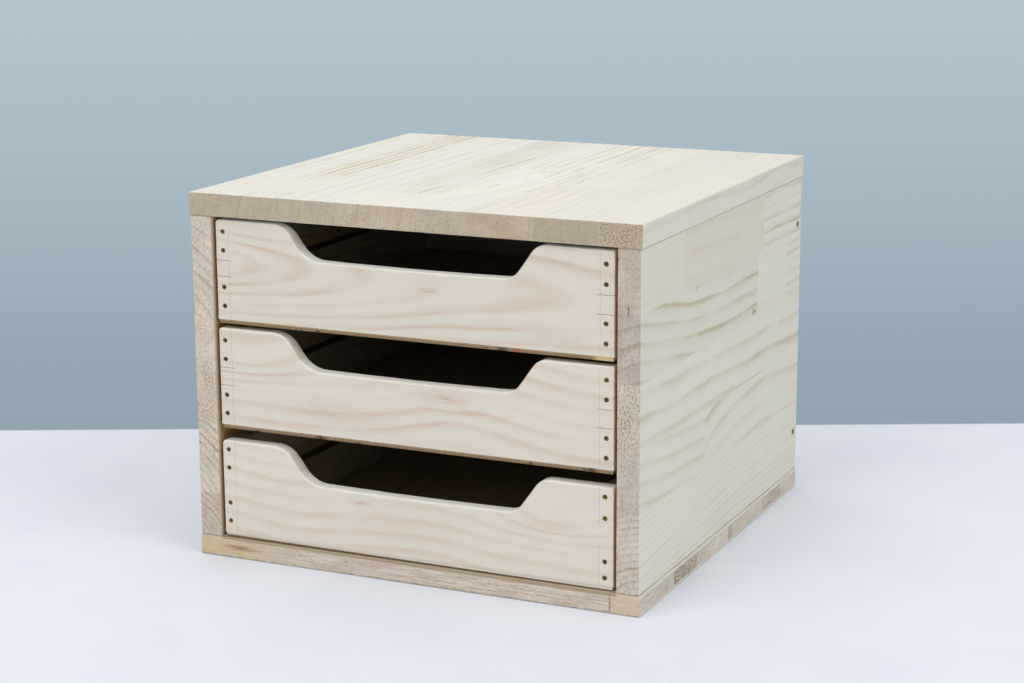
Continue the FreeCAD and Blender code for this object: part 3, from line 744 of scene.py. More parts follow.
# %% Finishes of the plain boards
def plain_board_finish(name, node, grain, face, block, early, late, edge_shade=None):
    """A single plain board: grain and face are the axes that its grain runs along and its face looks to.

    The last argument is the colour painted on its narrow edges above and below: a painted shade that makes
    them darker.
    """
    finish = Finish(name)
    place = finish.place()
    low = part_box(node)[0] / MM
    other = 3 - grain - face
    across, depth, along = place[other] - low[other], place[face] - low[face], place[grain] - low[grain]
    rings = growth_rings(finish, (block,), across, depth, along)
    facing = finish.facing()

    def painted_shade_edges(colour):
        # Painted shade: the edges that face up and down are darkened.
        return finish.mix(facing[2].ramp(0.5, 0.9) * 0.7, colour, edge_shade)

    marks = painted_shade_edges if edge_shade else None
    return bare_wood(finish, rings, facing[grain], across, depth, along, early, late, marks=marks)


# %% [markdown]
# Plywood
#
# The drawers' bottoms are three-ply. Seen from above it is one veneer with long calm grain, and on the edge
# it is a sandwich whose middle layer runs the other way and looks darker.


# %% Three-ply
# Each dark knot in the front edge: where it lies across, and its reach.
PLY_KNOTS = {"top": (), "middle": ((148, 9), (-78, 8)), "bottom": ((61, 7),)}
# The bottom drawer's edge is pale above a height that falls to the right.
PALE_LEVEL, PALE_SLOPE = 17.6, 0.0036
BLUE_PEN, RED_PEN = (78, 7), (90, 5)


def plywood_finish(place):
    finish = Finish(place + "_drawer_plywood", roughness=0.6)
    x, y, z = finish.place()
    low, high = (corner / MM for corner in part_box(place + "_drawer_bottom"))
    layer = (z - low.z) / (high.z - low.z)
    core = layer.over(0.3) * layer.under(0.7)
    # The lower layer of the edge is painted darker: painted shade, not a colour of the ply.
    shaded_lower_layer = layer.ramp(0.45, 0.1) * 0.75
    block = Block(pith=120, deep=4, ring=11, dip=0.03, line=0.55)
    rings = growth_rings(finish, (block,), x, z - low.z, y - low.y, wander=14.0)
    fibre = finish.noise(x / 0.7, z / 0.5, y / 34, detail=3.0, roughness=0.6)
    edge = finish.facing()[2].ramp(0.6, 0.3)
    face = finish.mix(rings.late * 0.8, shade(190, 172, 144), shade(162, 138, 110))
    face = finish.mix(fibre.ramp(0.45, 0.75) * 0.25, face, shade(142, 118, 92))
    sawn = finish.mix(core, shade(186, 164, 126), shade(154, 128, 94))
    sawn = finish.mix(shaded_lower_layer, sawn, shade(112, 90, 64))
    torn = finish.noise(x / 3, z / 1.2, y / 3, detail=3.0)
    sawn = finish.mix(torn.ramp(0.5, 0.7) * 0.7, sawn, shade(136, 104, 78))
    knots = finish.noise(x / 9, z / 3, y / 9, detail=2.0).ramp(0.66, 0.74)
    for knot_x, reach in PLY_KNOTS[place]:
        knots = knots.math("MAXIMUM", x.near(knot_x, reach) * torn.ramp(0.35, 0.5))
    sawn = finish.mix(knots * 0.9, sawn, shade(58, 42, 34))
    if place == "bottom":
        pale_layer = (z + x * PALE_SLOPE).ramp(PALE_LEVEL, PALE_LEVEL + 0.4)
        sawn = finish.mix(pale_layer * 0.95, sawn, FRONT_CREAM)
    if place == "top":
        sawn = finish.mix(x.near(*BLUE_PEN) * torn.ramp(0.3, 0.5) * 0.85, sawn, shade(52, 46, 56))
        sawn = finish.mix(x.near(*RED_PEN) * torn.ramp(0.3, 0.5) * 0.7, sawn, shade(196, 84, 72))
        sawn = finish.mix(x.ramp(148, 156) * 0.7, sawn, shade(236, 206, 152))
    colour = finish.mix(edge, face, sawn)
    roughness = 0.55 + fibre * 0.15 + edge * 0.15
    relief = finish.bump(fibre * 0.05 + edge * knots * 0.1)
    return finish.feed(Base_Color=colour, Roughness=roughness, Normal=relief)


# %% [markdown]
# Metal
#
# The screws are steel with a yellow zinc coat, dulled brown where the driver slipped and where damp got in.
# Metal shows by what it reflects, so the colour goes into a metallic shader, and the dirt between is not
# metallic at all.


# %% Screw and nail metal
def screw_finish():
    finish = Finish("yellow_zinc", roughness=0.42, metallic=1.0)
    x, y, z = finish.place()
    dull = finish.noise(x / 0.9, y / 0.9, z / 0.9, detail=3.0)
    tint = finish.noise(x / 4, y / 4, z / 4, detail=1.0)
    coat = finish.mix(tint.ramp(0.35, 0.65), shade(176, 148, 84), shade(132, 118, 74))
    colour = finish.mix(dull.ramp(0.45, 0.66), coat, shade(74, 56, 38))
    roughness = 0.34 + dull * 0.3
    metallic = dull.ramp(0.72, 0.5)
    return finish.feed(Base_Color=colour, Roughness=roughness, Metallic=metallic)


def nail_finish():
    finish = Finish("drawn_steel", roughness=0.4, metallic=1.0)
    x, y, z = finish.place()
    dull = finish.noise(x / 1.2, y / 1.2, z / 1.2, detail=3.0)
    colour = finish.mix(dull.ramp(0.4, 0.7), shade(176, 178, 180), shade(118, 112, 106))
    return finish.feed(Base_Color=colour, Roughness=0.3 + dull * 0.3)


# %% [markdown]
# Boards with eased edges
#
# A real board has no sharp edge: the maker took it off with sandpaper, more in one place than in another, and
# it got knocked since. A bevel would be too even. So a board starts as a grid over a box whose corners are
# pulled onto a small radius, and the radius changes along each edge. Flat areas are then joined into single
# faces again, which keeps the mesh light.

# %% A board's mesh
GRID = 7 * MM


def mesh_of(name, shape):
    """The mesh of a shape that is done."""
    mesh = bpy.data.meshes.new(name)
    shape.to_mesh(mesh)
    shape.free()
    return mesh


def cuts(low, high, ease):
    """Places along one side of a board: three close to each end, for the round edge, and a grid between."""
    close = [low, low + 0.25 * ease, low + 0.6 * ease, low + ease]
    inner = high - low - 2 * ease
    steps = max(1, round(inner / GRID))
    middle = [low + ease + inner * step / steps for step in range(1, steps)]
    return close + middle + [low + high - place for place in reversed(close)]


def worn_board_mesh(name, low, high, ease, wear):
    """A box with rounded edges, whose roundness changes along each edge."""
    widest = min(ease * (1 + 1.6 * wear), min(high - low) * 0.4)
    lines = [cuts(low[axis], high[axis], widest) for axis in range(3)]
    shape = bmesh.new()
    corners = {}

    def corner(key):
        if key not in corners:
            point = Vector(lines[axis][key[axis]] for axis in range(3))
            knock = noise.noise(point * 55) + 0.6 * noise.noise(point * 190)
            radius = min(widest, max(ease * 0.35, ease * (1 + wear * knock)))
            inner = Vector(
                min(max(point[axis], low[axis] + radius), high[axis] - radius) for axis in range(3)
            )
            out = point - inner
            if out.length > radius:
                point = inner + out.normalized() * radius
            corners[key] = shape.verts.new(point)
        return corners[key]

    for axis in range(3):
        first, second = (axis + 1) % 3, (axis + 2) % 3
        for end in (0, len(lines[axis]) - 1):
            for i in range(len(lines[first]) - 1):
                for j in range(len(lines[second]) - 1):
                    ring = []
                    for di, dj in ((0, 0), (1, 0), (1, 1), (0, 1)):
                        key = [0, 0, 0]
                        key[axis], key[first], key[second] = end, i + di, j + dj
                        ring.append(corner(tuple(key)))
                    shape.faces.new(ring if end else reversed(ring))
    bmesh.ops.dissolve_limit(
        shape, angle_limit=math.radians(0.4), verts=list(shape.verts), edges=list(shape.edges)
    )
    return mesh_of(name, shape)


# %% [markdown]
# Fasteners
#
# The frame already knows where each screw and nail sits. Its solids are plain prisms, so the head's middle
# and the way it was driven can be read from them. The real shape is turned on a lathe in code: a profile
# swept round an axis, with a radius that also follows the thread.

# %% Where the fasteners are
SAME_FASTENER = 8 * MM


def fastener_places(node, axis, outward=False):
    """(head, direction) of each fastener in a CAD node, which was driven along an axis."""
    groups = []
    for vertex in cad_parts[node].data.vertices:
        flat = vertex.co.copy()
        flat[axis] = math.copysign(1.0, flat[axis]) if axis == 0 else 0.0
        for group in groups:
            if (group[0] - flat).length < SAME_FASTENER:
                group[1].append(vertex.co.copy())
                break
        else:
            groups.append((flat, [vertex.co.copy()]))
    places = []
    for flat, points in groups:
        low = Vector(min(point[a] for point in points) for a in range(3))
        high = Vector(max(point[a] for point in points) for a in range(3))
        head = (low + high) / 2
        sign = 1.0
        if axis == 0:
            sign = math.copysign(1.0, head.x) * (1 if outward else -1)
        head[axis] = low[axis] if sign > 0 else high[axis]
        direction = Vector((0, 0, 0))
        direction[axis] = sign
        places.append((head, direction))
    return places


# %% A lathe
SHARP_EDGE = math.radians(38)


def closed_mesh(name, rows):
    """Rings of points joined into one closed skin, with a face over each end."""
    shape = bmesh.new()
    rings = [[shape.verts.new(point) for point in row] for row in rows]
    for upper, lower in zip(rings, rings[1:]):
        for index in range(len(upper)):
            after = (index + 1) % len(upper)
            shape.faces.new((upper[index], upper[after], lower[after], lower[index]))
    shape.faces.new(rings[0])
    shape.faces.new(list(reversed(rings[-1])))
    bmesh.ops.recalc_face_normals(shape, faces=list(shape.faces))
    return mesh_of(name, shape)


def turned(name, profile, sides, radius_at=None):
    """A solid turned on a lathe: profile is (radius, height) pairs from the head's face to the point."""
    rows = []
    for radius, height in profile:
        row = []
        for side in range(sides):
            angle = 2 * math.pi * side / sides
            wide = radius_at(radius, height, angle) if radius_at else radius
            row.append((wide * math.cos(angle), wide * math.sin(angle), height))
        rows.append(row)
    return closed_mesh(name, rows)


def new_piece(name, mesh, material):
    piece = bpy.data.objects.new(name, mesh)
    bpy.context.scene.collection.objects.link(piece)
    mesh.materials.clear()
    mesh.materials.append(material)
    return piece


def carve(piece, tool):
    """Cut one object out of another, for good."""
    cutter = piece.modifiers.new("carve", "BOOLEAN")
    cutter.operation = "DIFFERENCE"
    cutter.solver = "EXACT"
    cutter.object = tool
    bpy.context.view_layer.update()
    carved = bpy.data.meshes.new_from_object(piece.evaluated_get(bpy.context.evaluated_depsgraph_get()))
    piece.modifiers.clear()
    old = piece.data
    piece.data = carved
    bpy.data.meshes.remove(old)
    tool_mesh = tool.data
    bpy.data.objects.remove(tool)
    bpy.data.meshes.remove(tool_mesh)


def soften(piece):
    """Smooth shading that stops at real edges, with the flat faces kept flat."""
    piece.data.polygons.foreach_set("use_smooth", [True] * len(piece.data.polygons))
    piece.data.set_sharp_from_angle(angle=SHARP_EDGE)
    flat = piece.modifiers.new("flat_faces", "WEIGHTED_NORMAL")
    flat.keep_sharp = True


# %% [markdown]
# One screw
#
# A countersunk screw has a flat head with a cross-shaped recess, a cone that sits in the wood, and a thread.
# The cross is a plus-shaped wedge cut out of the head. The thread is the lathe's radius following a saw-tooth
# that climbs as it goes round.

# %% The screw, the nail and the dowel
SCREW_SIDES = 20
THREAD_ROWS = 4


class ScrewSize(NamedTuple):
    head: float
    shank: float
    length: float
    pitch: float


DRAWER_SCREW = ScrewSize(3.7 * MM, 2.5 * MM, 25 * MM, 1.1 * MM)
CASE_SCREW = ScrewSize(4.9 * MM, 3.0 * MM, 40 * MM, 1.4 * MM)


def cross_recess(size):
    """A wedge with the outline of a plus sign, to be cut out of a screw's head."""
    wide, thick, deep = size.head * 0.36, size.head * 0.095, size.head * 0.38
    rows = []
    for level, share in ((-0.2 * MM, 1.1), (deep, 0.3)):
        row = []
        for turn in range(4):
            for x, y in ((wide, -thick), (wide, thick), (thick, thick)):
                corner = Vector((x * share, y * share, level))
                row.append(Matrix.Rotation(turn * math.pi / 2, 3, "Z") @ corner)
        rows.append(row)
    return closed_mesh("recess", rows)


def screw_mesh(name, size):
    """A countersunk screw: its head's face on the origin, its point up the Z axis."""
    head, core = size.head / 2, size.shank / 2
    cone = head - core
    rows = round((size.length - cone - 3 * size.pitch) / size.pitch * THREAD_ROWS)
    profile = [(head * 0.93, 0.0), (head, 0.08 * MM), (head * 0.97, 0.2 * MM), (core, cone)]
    profile += [(core, cone + (row + 1) * size.pitch / THREAD_ROWS) for row in range(rows)]
    tip = profile[-1][1]
    profile += [
        (core * 0.75, tip + size.pitch), (core * 0.42, tip + 2 * size.pitch), (core * 0.08, size.length),
    ]

    def thread(radius, height, angle):
        if height <= cone + size.pitch or height > tip:
            return radius
        turn = (height / size.pitch - angle / (2 * math.pi)) % 1.0
        return radius * (0.78 + 0.22 * (1 - abs(2 * turn - 1)))

    screw = new_piece(name, turned(name, profile, SCREW_SIDES, thread), YELLOW_ZINC)
    carve(screw, new_piece(name + "_recess", cross_recess(size), YELLOW_ZINC))
    mesh = screw.data
    bpy.data.objects.remove(screw)
    return mesh


def nail_mesh():
    """A flat-headed nail, its head's face on the origin, its point up the Z axis."""
    head, shank, length = 1.38 * MM, 0.7 * MM, 15 * MM
    profile = (
        (1.1 * MM, 0.0), (head, 0.12 * MM), (head, 0.38 * MM), (shank, 0.5 * MM),
        (shank, 12.8 * MM), (0.08 * MM, length),
    )
    return turned("nail", profile, 14)


def dowel_mesh(length, radius):
    """A fluted dowel with bevelled ends, up the Z axis from the origin."""
    bevel = 1.0 * MM
    profile = ((radius - bevel, 0.0), (radius, bevel), (radius, length - bevel), (radius - bevel, length))

    def flutes(wide, height, angle):
        return wide * (0.975 + 0.025 * math.cos(24 * angle))

    return turned("dowel", profile, 96, flutes)


YELLOW_ZINC = screw_finish()
DRAWN_STEEL = nail_finish()
SCREWS = {
    DRAWER_SCREW: screw_mesh("drawer_screw", DRAWER_SCREW),
    CASE_SCREW: screw_mesh("case_screw", CASE_SCREW),
}
print("A drawer screw has", len(SCREWS[DRAWER_SCREW].polygons), "faces")


# %% Copies of a fastener
def copies(name, master, places, first_twist=0.0, twist_step=0.0):
    """One mesh with a copy of the master at each place, twisted a little further each time."""
    shape = bmesh.new()
    for index, (head, direction) in enumerate(places):
        turn = direction.to_track_quat("Z", "Y").to_matrix().to_4x4()
        twist = Matrix.Rotation(twist_step * index + first_twist, 4, "Z")
        before = len(shape.verts)
        shape.from_mesh(master)
        shape.verts.ensure_lookup_table()
        seat = Matrix.Translation(head) @ turn @ twist
        bmesh.ops.transform(shape, matrix=seat, verts=shape.verts[before:])
    return mesh_of(name, shape)


def gathered(name, master, places, sunk, material):
    """One piece with all the fasteners of a group, sunk into the wood a little."""
    seats = [(head + direction * sunk, direction) for head, direction in places]
    piece = new_piece(name, copies(name, master, seats, first_twist=0.3, twist_step=2.4), material)
    soften(piece)
    return piece


SUNK = 0.35 * MM
NAIL_PROUD = 0.12 * MM
SLIPPED_SCREWS = {"bottom_drawer_front_screws": ((161.5, 74, -1.5), (161.5, 45, -6.0), (161.5, 30, -3.6))}
SCREW_ROW_SLIPS = {
    "top_drawer_front_screws": ((0.3, 0.8), (-0.8, -0.5)),
    "middle_drawer_front_screws": ((-0.6, -0.9), (-0.2, -1.2)),
    "bottom_drawer_front_screws": ((-0.8, -0.2), (-1.0, -0.4)),
}


def slipped(node, places):
    """The places, moved to where the maker really drove the screws.

    A slipped screw is given as x, z and its slip up. A row's slip, left row first, is across and up.
    """
    for head, _ in places:
        for x, z, slip in SLIPPED_SCREWS.get(node, ()):
            if abs(head.x - x * MM) < 2 * MM and abs(head.z - z * MM) < 2 * MM:
                head.z += slip * MM
                break
        if node in SCREW_ROW_SLIPS:
            across, up = SCREW_ROW_SLIPS[node][head.x > 0]
            head.x += across * MM
            head.z += up * MM
    return places


def dress_fasteners(node, master, axis, body, material, sunk=SUNK, outward=False):
    """Put real fasteners where a CAD node has plain ones, and say where their heads are."""
    places = slipped(node, fastener_places(node, axis, outward))
    piece = gathered("real_" + node, master, places, sunk, material)
    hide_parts(node)
    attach(piece, body)
    return places


HEADS = {}
for place in PLACES:
    body = place + "_drawer"
    master = SCREWS[DRAWER_SCREW]
    for kind, axis in (("_front_screws", 1), ("_back_screws", 0)):
        node = body + kind
        HEADS[node] = dress_fasteners(node, master, axis, body, YELLOW_ZINC)
    node = place + "_runner_screws"
    HEADS[node] = dress_fasteners(node, master, 0, "case", YELLOW_ZINC, outward=True)
    node = body + "_bottom_nails"
    HEADS[node] = dress_fasteners(node, nail_mesh(), 2, body, DRAWN_STEEL, sunk=-NAIL_PROUD)
HEADS["bottom_screws"] = dress_fasteners(
    "bottom_screws", SCREWS[CASE_SCREW], 2, "case", YELLOW_ZINC
)
HEADS["back_screws"] = dress_fasteners(
    "back_screws", SCREWS[CASE_SCREW], 0, "case", YELLOW_ZINC
)
print({node: len(places) for node, places in HEADS.items()})

# %% [markdown]
# Screw holes
#
# A countersunk hole is a short round step, a cone and a bore. Cut into the wood a little wider than the head,
# it leaves the dark rim that makes a screw look driven in and not painted on.


# %% Countersunk holes
def hole_tool(places, size):
    """All the holes of one board as a single cutting tool."""
    rim = size.head / 2 + 0.22 * MM
    bore = size.shank / 2 + 0.05 * MM
    profile = (
        (rim + 0.10 * MM, -0.5 * MM), (rim + 0.10 * MM, 0.0), (rim, 0.12 * MM), (rim, SUNK + 0.15 * MM),
        (bore, SUNK + size.head / 2 - bore + 0.2 * MM), (bore, size.length + 1.0 * MM),
    )
    master = turned("hole", profile, 24)
    mesh = copies("holes", master, places)
    bpy.data.meshes.remove(master)
    return new_piece("holes", mesh, YELLOW_ZINC)


def heads_in(node, groups):
    """The fasteners of some groups whose heads lie in a board's face."""
    low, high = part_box(node)
    reach = Vector((1, 1, 1)) * 0.2 * MM
    inside = []
    for group in groups:
        for head, direction in HEADS[group]:
            if all(low[a] - reach[a] < head[a] < high[a] + reach[a] for a in range(3)):
                inside.append((head, direction))
    return inside


def chip(piece, place, reach):
    """Knock a rough chip out of a piece: a lump of the given reach, in millimetres, is cut away."""
    shape = bmesh.new()
    bmesh.ops.create_icosphere(shape, subdivisions=3, radius=1.0)
    for vertex in shape.verts:
        rough = 1 + 0.35 * noise.noise(vertex.co * 2.3 + Vector(place))
        vertex.co = Vector(p + c * r * rough for p, c, r in zip(place, vertex.co, reach)) * MM
    carve(piece, new_piece("lump", mesh_of("lump", shape), YELLOW_ZINC))


def dress_board(node, body, material, ease, wear, groups=(), size=DRAWER_SCREW, chips=(), planed=0.0):
    """Put a worn board where a CAD node has a plain one. planed is how much its top edge was taken down."""
    low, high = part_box(node)
    high = high - Vector((0, 0, planed))
    piece = new_piece("worn_" + node, worn_board_mesh(node, low, high, ease, wear), material)
    places = heads_in(node, groups)
    if places:
        carve(piece, hole_tool(places, size))
    for place, reach in chips:
        chip(piece, place, reach)
    soften(piece)
    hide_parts(node)
    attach(piece, body)
    return piece


# %% [markdown]
# The case
#
# Five boards. Their edges were only broken with sandpaper, so the radius is small, and it wears most at the
# sawn ends.

# %% The case's boards
CASE_EASE = 0.55 * MM
# Each chip: its middle in the tray's own frame and its reach, in millimetres.
CHIPS = {
    "left_side_board": (((-170.2, -188.3, 121), (1.1, 1.3, 2.2)),),
    "right_side_board": (
        ((170.0, -188.6, 267), (1.5, 2.2, 1.6)), ((189.3, 189.3, 245.5), (2.0, 4.6, 4.2)),
        ((189.0, 188.6, 128), (1.0, 1.8, 3.0)),
    ),
}
dress_board("top_board", "case", top_panel_finish(), CASE_EASE, 0.8)
for node, blocks, outward in (("left_side_board", LEFT_BLOCKS, -1), ("right_side_board", RIGHT_BLOCKS, 1)):
    dress_board(
        node, "case", side_panel_finish(node, blocks, outward), CASE_EASE, 0.8,
        groups=("back_screws",), size=CASE_SCREW, chips=CHIPS[node],
    )
dress_board("back_board", "case", back_panel_finish(), CASE_EASE, 0.5)
dress_board(
    "bottom_board", "case", blockboard_finish(), CASE_EASE, 0.9,
    groups=("bottom_screws",), size=CASE_SCREW,
)

# %% [markdown]
# The runners and the drawers' insides
#
# These boards are plain, and each gets a heart of its own, so that no two look alike. They were never
# sanded. The slats and backs are painted darker than the fronts, a painted shade for the drawers' insides.
# A front's top edge was sawn a little low and not quite level.
# Its drop is given in millimetres at each end, and the slats behind it stay one small step lower, so that
# they don't show.

# %% Runners, slats, backs and bottoms
RUNNER_EARLY = shade(214, 184, 142)
RUNNER_LATE = shade(168, 130, 90)
# The slats' and backs' colours are darkened: painted shade for the drawers' insides.
ROUGH_EARLY_SHADED = shade(204, 191, 170)
ROUGH_LATE_SHADED = shade(176, 152, 124)
# The colour painted on the slats' edges that face up and down: painted shade.
EDGE_PAINTED_SHADE = shade(128, 104, 78)
TOP_EDGE_DROPS = {"top": (0.3, 0.6), "middle": (1.2, 1.1), "bottom": (3.0, 2.9)}
SLAT_STEP = 1.2
for number, place in enumerate(PLACES):
    body = place + "_drawer"
    for turn, side in enumerate(("left", "right")):
        node = f"{place}_{side}_runner"
        block = Block(pith=-20 - 9 * number, deep=14 + 7 * turn, ring=3.4, line=0.6)
        finish = plain_board_finish(node + "_wood", node, 1, 0, block, RUNNER_EARLY, RUNNER_LATE)
        dress_board(node, "case", finish, 0.5 * MM, 0.5, groups=(place + "_runner_screws",))
        for row in ("lower", "upper"):
            node = f"{body}_{side}_{row}_slat"
            pith = (17 if row == "lower" else -38) - 11 * number + 20 * turn
            block = Block(pith=pith, deep=6 + 9 * turn, ring=5.5, dip=0.05, line=0.55)
            finish = plain_board_finish(node + "_pine", node, 1, 0, block, ROUGH_EARLY_SHADED, ROUGH_LATE_SHADED, EDGE_PAINTED_SHADE)
            dress_board(
                node, body, finish, 0.6 * MM, 0.6, groups=(body + "_back_screws",),
                planed=(TOP_EDGE_DROPS[place][turn] + SLAT_STEP) * MM if row == "upper" else 0.0,
            )
    node = body + "_back"
    block = Block(pith=30 + 14 * number, deep=5, ring=6.5, dip=0.07, line=0.55)
    finish = plain_board_finish(node + "_pine", node, 0, 1, block, ROUGH_EARLY_SHADED, ROUGH_LATE_SHADED)
    dress_board(node, body, finish, 0.6 * MM, 0.6)
    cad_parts[body + "_bottom"].data.materials.clear()
    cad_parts[body + "_bottom"].data.materials.append(plywood_finish(place))

# %% [markdown]
# The drawer fronts
#
# The front is the one shaped board. Its outline is lines and arcs: two S-curves run down into the scoop, and
# every edge was rounded by hand with sandpaper. The outline is swept through the board's thickness in rings,
# each drawn in a little more near the two faces, so the rounding follows every curve.

# %% The scoop's sizes
SCOOP_DEPTHS = {"top": 27.1 * MM, "middle": 28.0 * MM, "bottom": 29.5 * MM}
SCOOP_SAG = 0.8 * MM
SCOOP_SLOPE = math.radians(55)
# How far in from each end of the front the scoop's shoulder begins: -1 is the left side, 1 the right.
SHOULDERS = {
    "top": {-1: 49.9 * MM, 1: 55.0 * MM},
    "middle": {-1: 47.3 * MM, 1: 54.1 * MM},
    "bottom": {-1: 45.7 * MM, 1: 51.8 * MM},
}
SHOULDER_BENDS = {-1: 21.5 * MM, 1: 13.5 * MM}
FOOT_BENDS = {-1: 25 * MM, 1: 15 * MM}
TOP_CORNER = 2.1 * MM
ARC_STEP = math.radians(5)
EDGE_STEP = 6 * MM


# %% The outline of a drawer front
def arc_points(centre_x, centre_z, radius, start, end):
    """Points on an arc, its ends included."""
    steps = max(2, math.ceil(abs(end - start) / ARC_STEP))
    angles = [start + (end - start) * step / steps for step in range(steps + 1)]
    return [(centre_x + radius * math.cos(a), centre_z + radius * math.sin(a)) for a in angles]


def scoop_side(side, half_width, top, place):
    """The bends of the scoop on one side, from the top edge down to its floor."""
    upper, lower = SHOULDER_BENDS[side], FOOT_BENDS[side]
    shoulder, depth = half_width - SHOULDERS[place][side], SCOOP_DEPTHS[place]
    drop = (upper + lower) * (1 - math.cos(SCOOP_SLOPE))
    run = (depth - drop) / math.tan(SCOOP_SLOPE)
    foot = shoulder - (upper + lower) * math.sin(SCOOP_SLOPE) - run
    quarter = math.pi / 2
    points = arc_points(shoulder, top - upper, upper, quarter, quarter + SCOOP_SLOPE)
    points += arc_points(foot, top - depth + lower, lower, SCOOP_SLOPE - quarter, -quarter)
    return [(side * x, z) for x, z in points]


def front_outline(half_width, foot, top, place):
    """The front's outline, counter-clockwise as seen from the front."""
    quarter = math.pi / 2
    right_side = scoop_side(1, half_width, top, place)
    left_side = list(reversed(scoop_side(-1, half_width, top, place)))
    floor_start, floor_end = right_side[-1], left_side[0]
    outline = [(-half_width, foot), (half_width, foot)]
    outline += arc_points(half_width - TOP_CORNER, top - TOP_CORNER, TOP_CORNER, 0, quarter)
    outline += right_side + left_side
    outline += arc_points(TOP_CORNER - half_width, top - TOP_CORNER, TOP_CORNER, quarter, math.pi)
    filled = []
    for (x1, z1), (x2, z2) in zip(outline, outline[1:] + outline[:1]):
        steps = max(1, round(math.hypot(x2 - x1, z2 - z1) / EDGE_STEP))
        sag = SCOOP_SAG if (x1, z1) == floor_start and (x2, z2) == floor_end else 0.0
        for share in (step / steps for step in range(steps)):
            lowered = sag * 4 * share * (1 - share)
            filled.append((x1 + (x2 - x1) * share, z1 + (z2 - z1) * share - lowered))
    return filled


# %% The front's mesh
# How round its edges are, in millimetres: at the foot, round the outer face and round the rear one, and how
# much rounder those that look up are.
FOOT_EASE, FACE_EASE, REAR_EASE, TOP_EASE = 0.35, 0.9, 0.5, 1.1


def top_edge_drop(place, x, half_width):
    """How far below the drawing the top edge was sawn, at x."""
    left, right = (drop * MM for drop in TOP_EDGE_DROPS[place])
    return left + (right - left) * (x + half_width) / (2 * half_width)


def front_mesh(place, low, high):
    """The front swept through its thickness, with sanded edges."""
    half_width = (high.x - low.x) / 2
    outline = [Vector((x, 0, z)) for x, z in front_outline(half_width, low.z, high.z, place)]
    count = len(outline)
    outward = []
    for index, point in enumerate(outline):
        ahead, behind = outline[(index + 1) % count], outline[index - 1]
        along = ((ahead - point).normalized() + (point - behind).normalized()).normalized()
        outward.append(Vector((along.z, 0, -along.x)))
    rounding = [math.radians(angle) for angle in (0, 25, 50, 75, 90)]
    layers = [(low.y, 1, angle) for angle in rounding] + [(high.y, -1, angle) for angle in reversed(rounding)]
    rows = []
    for face, inward, angle in layers:
        row = []
        for point, out in zip(outline, outward):
            knock = noise.noise(point * 60 + Vector((0, face * 90, 0)))
            plain = FOOT_EASE if point.z < low.z + 1e-6 else FACE_EASE if inward > 0 else REAR_EASE
            ease = (plain + TOP_EASE * max(0.0, out.z)) * (1 + 0.35 * knock) * MM
            away = out * (ease * (1 - math.sin(angle)))
            y = face + inward * ease * (1 - math.cos(angle))
            z = point.z - away.z
            z -= top_edge_drop(place, point.x, half_width) * (z - low.z) / (high.z - low.z)
            row.append((point.x - away.x, y, z))
        rows.append(row)
    return closed_mesh(place + "_front", rows)


for place in PLACES:
    node = place + "_drawer_front"
    piece = new_piece("shaped_" + node, front_mesh(place, *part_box(node)), front_finish(place))
    carve(piece, hole_tool(HEADS[node + "_screws"], DRAWER_SCREW))
    soften(piece)
    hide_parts(node)
    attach(piece, place + "_drawer")
    print(piece.name, len(piece.data.polygons), "faces")

# %% [markdown]
# Dowels
#
# Six fluted dowels join the top to the sides. Nobody sees them, but they are there when the tray is taken
# apart.

# %% The dowels
low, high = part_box("top_dowels")
dowel = dowel_mesh(high.z - low.z, 4 * MM)
block = Block(ring=2.5, line=0.4)
dowel_wood = plain_board_finish("dowel_beech", "top_dowels", 2, 1, block, RUNNER_EARLY, RUNNER_LATE)
dowels = gathered("fluted_dowels", dowel, fastener_places("top_dowels", 2), 0.0, dowel_wood)
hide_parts("top_dowels")
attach(dowels, "case")

# %% [markdown]
# Floor, light and camera
#
# The floor is pale and plain, and past a straight line behind the tray it is a cool grey-blue, so that pale
# wood stands out from what is behind it. That far part shows the camera its colour as it is written, and
# lights the tray like the rest of the floor. The floor lies a hair below the tray, because two surfaces at
# the same height would fight over which of them is seen. The light is that of a bright, overcast day: even
# from all sides, with four large soft lamps, the strongest from the right and from the front.

# %% The floor
FLOOR_REACH = 9.0
FLOOR_LEVEL = -0.3 * MM
# The line: how far it lies from the tray's middle in metres, and the direction that leads there.
LINE_DISTANCE = 0.2926
LINE_ACROSS, LINE_BACK = -0.4254, 0.9050
BACKDROP_STOPS = (
    (0.0, shade(146, 164, 175)), (0.05, shade(149, 167, 178)), (0.115, shade(156, 174, 185)),
    (0.2, shade(163, 181, 191)), (0.32, shade(169, 187, 197)), (0.85, shade(178, 196, 204)),
)
floor_mesh = bpy.data.meshes.new("floor")
floor_corners = ((-1, -1), (1, -1), (1, 1), (-1, 1))
floor_mesh.from_pydata(
    [(x * FLOOR_REACH, y * FLOOR_REACH, FLOOR_LEVEL) for x, y in floor_corners], [], [(0, 1, 2, 3)]
)
floor_finish = Finish("pale_floor", roughness=0.8, specular=0.1)
x, y, z = floor_finish.place()
beyond = (x * LINE_ACROSS + y * LINE_BACK) / 1000 - LINE_DISTANCE
backdrop = floor_finish.node("ShaderNodeValToRGB", {"stops": BACKDROP_STOPS}, [beyond / 6])
speckle = floor_finish.noise(x / 90, y / 90, z, detail=3.0)
pale = floor_finish.mix(speckle.ramp(0.3, 0.7), shade(227, 231, 241), shade(230, 234, 243))
floor_material = floor_finish.feed(Base_Color=pale)
glow = floor_finish.node("ShaderNodeEmission", sockets={"Color": backdrop, "Strength": 1.0})
plain = Wire(floor_finish, floor_finish.shader.outputs[0])
far = beyond.ramp(0.0, 0.006) * floor_finish.seen()
both = floor_finish.node("ShaderNodeMixShader", sockets=[far, plain, glow])
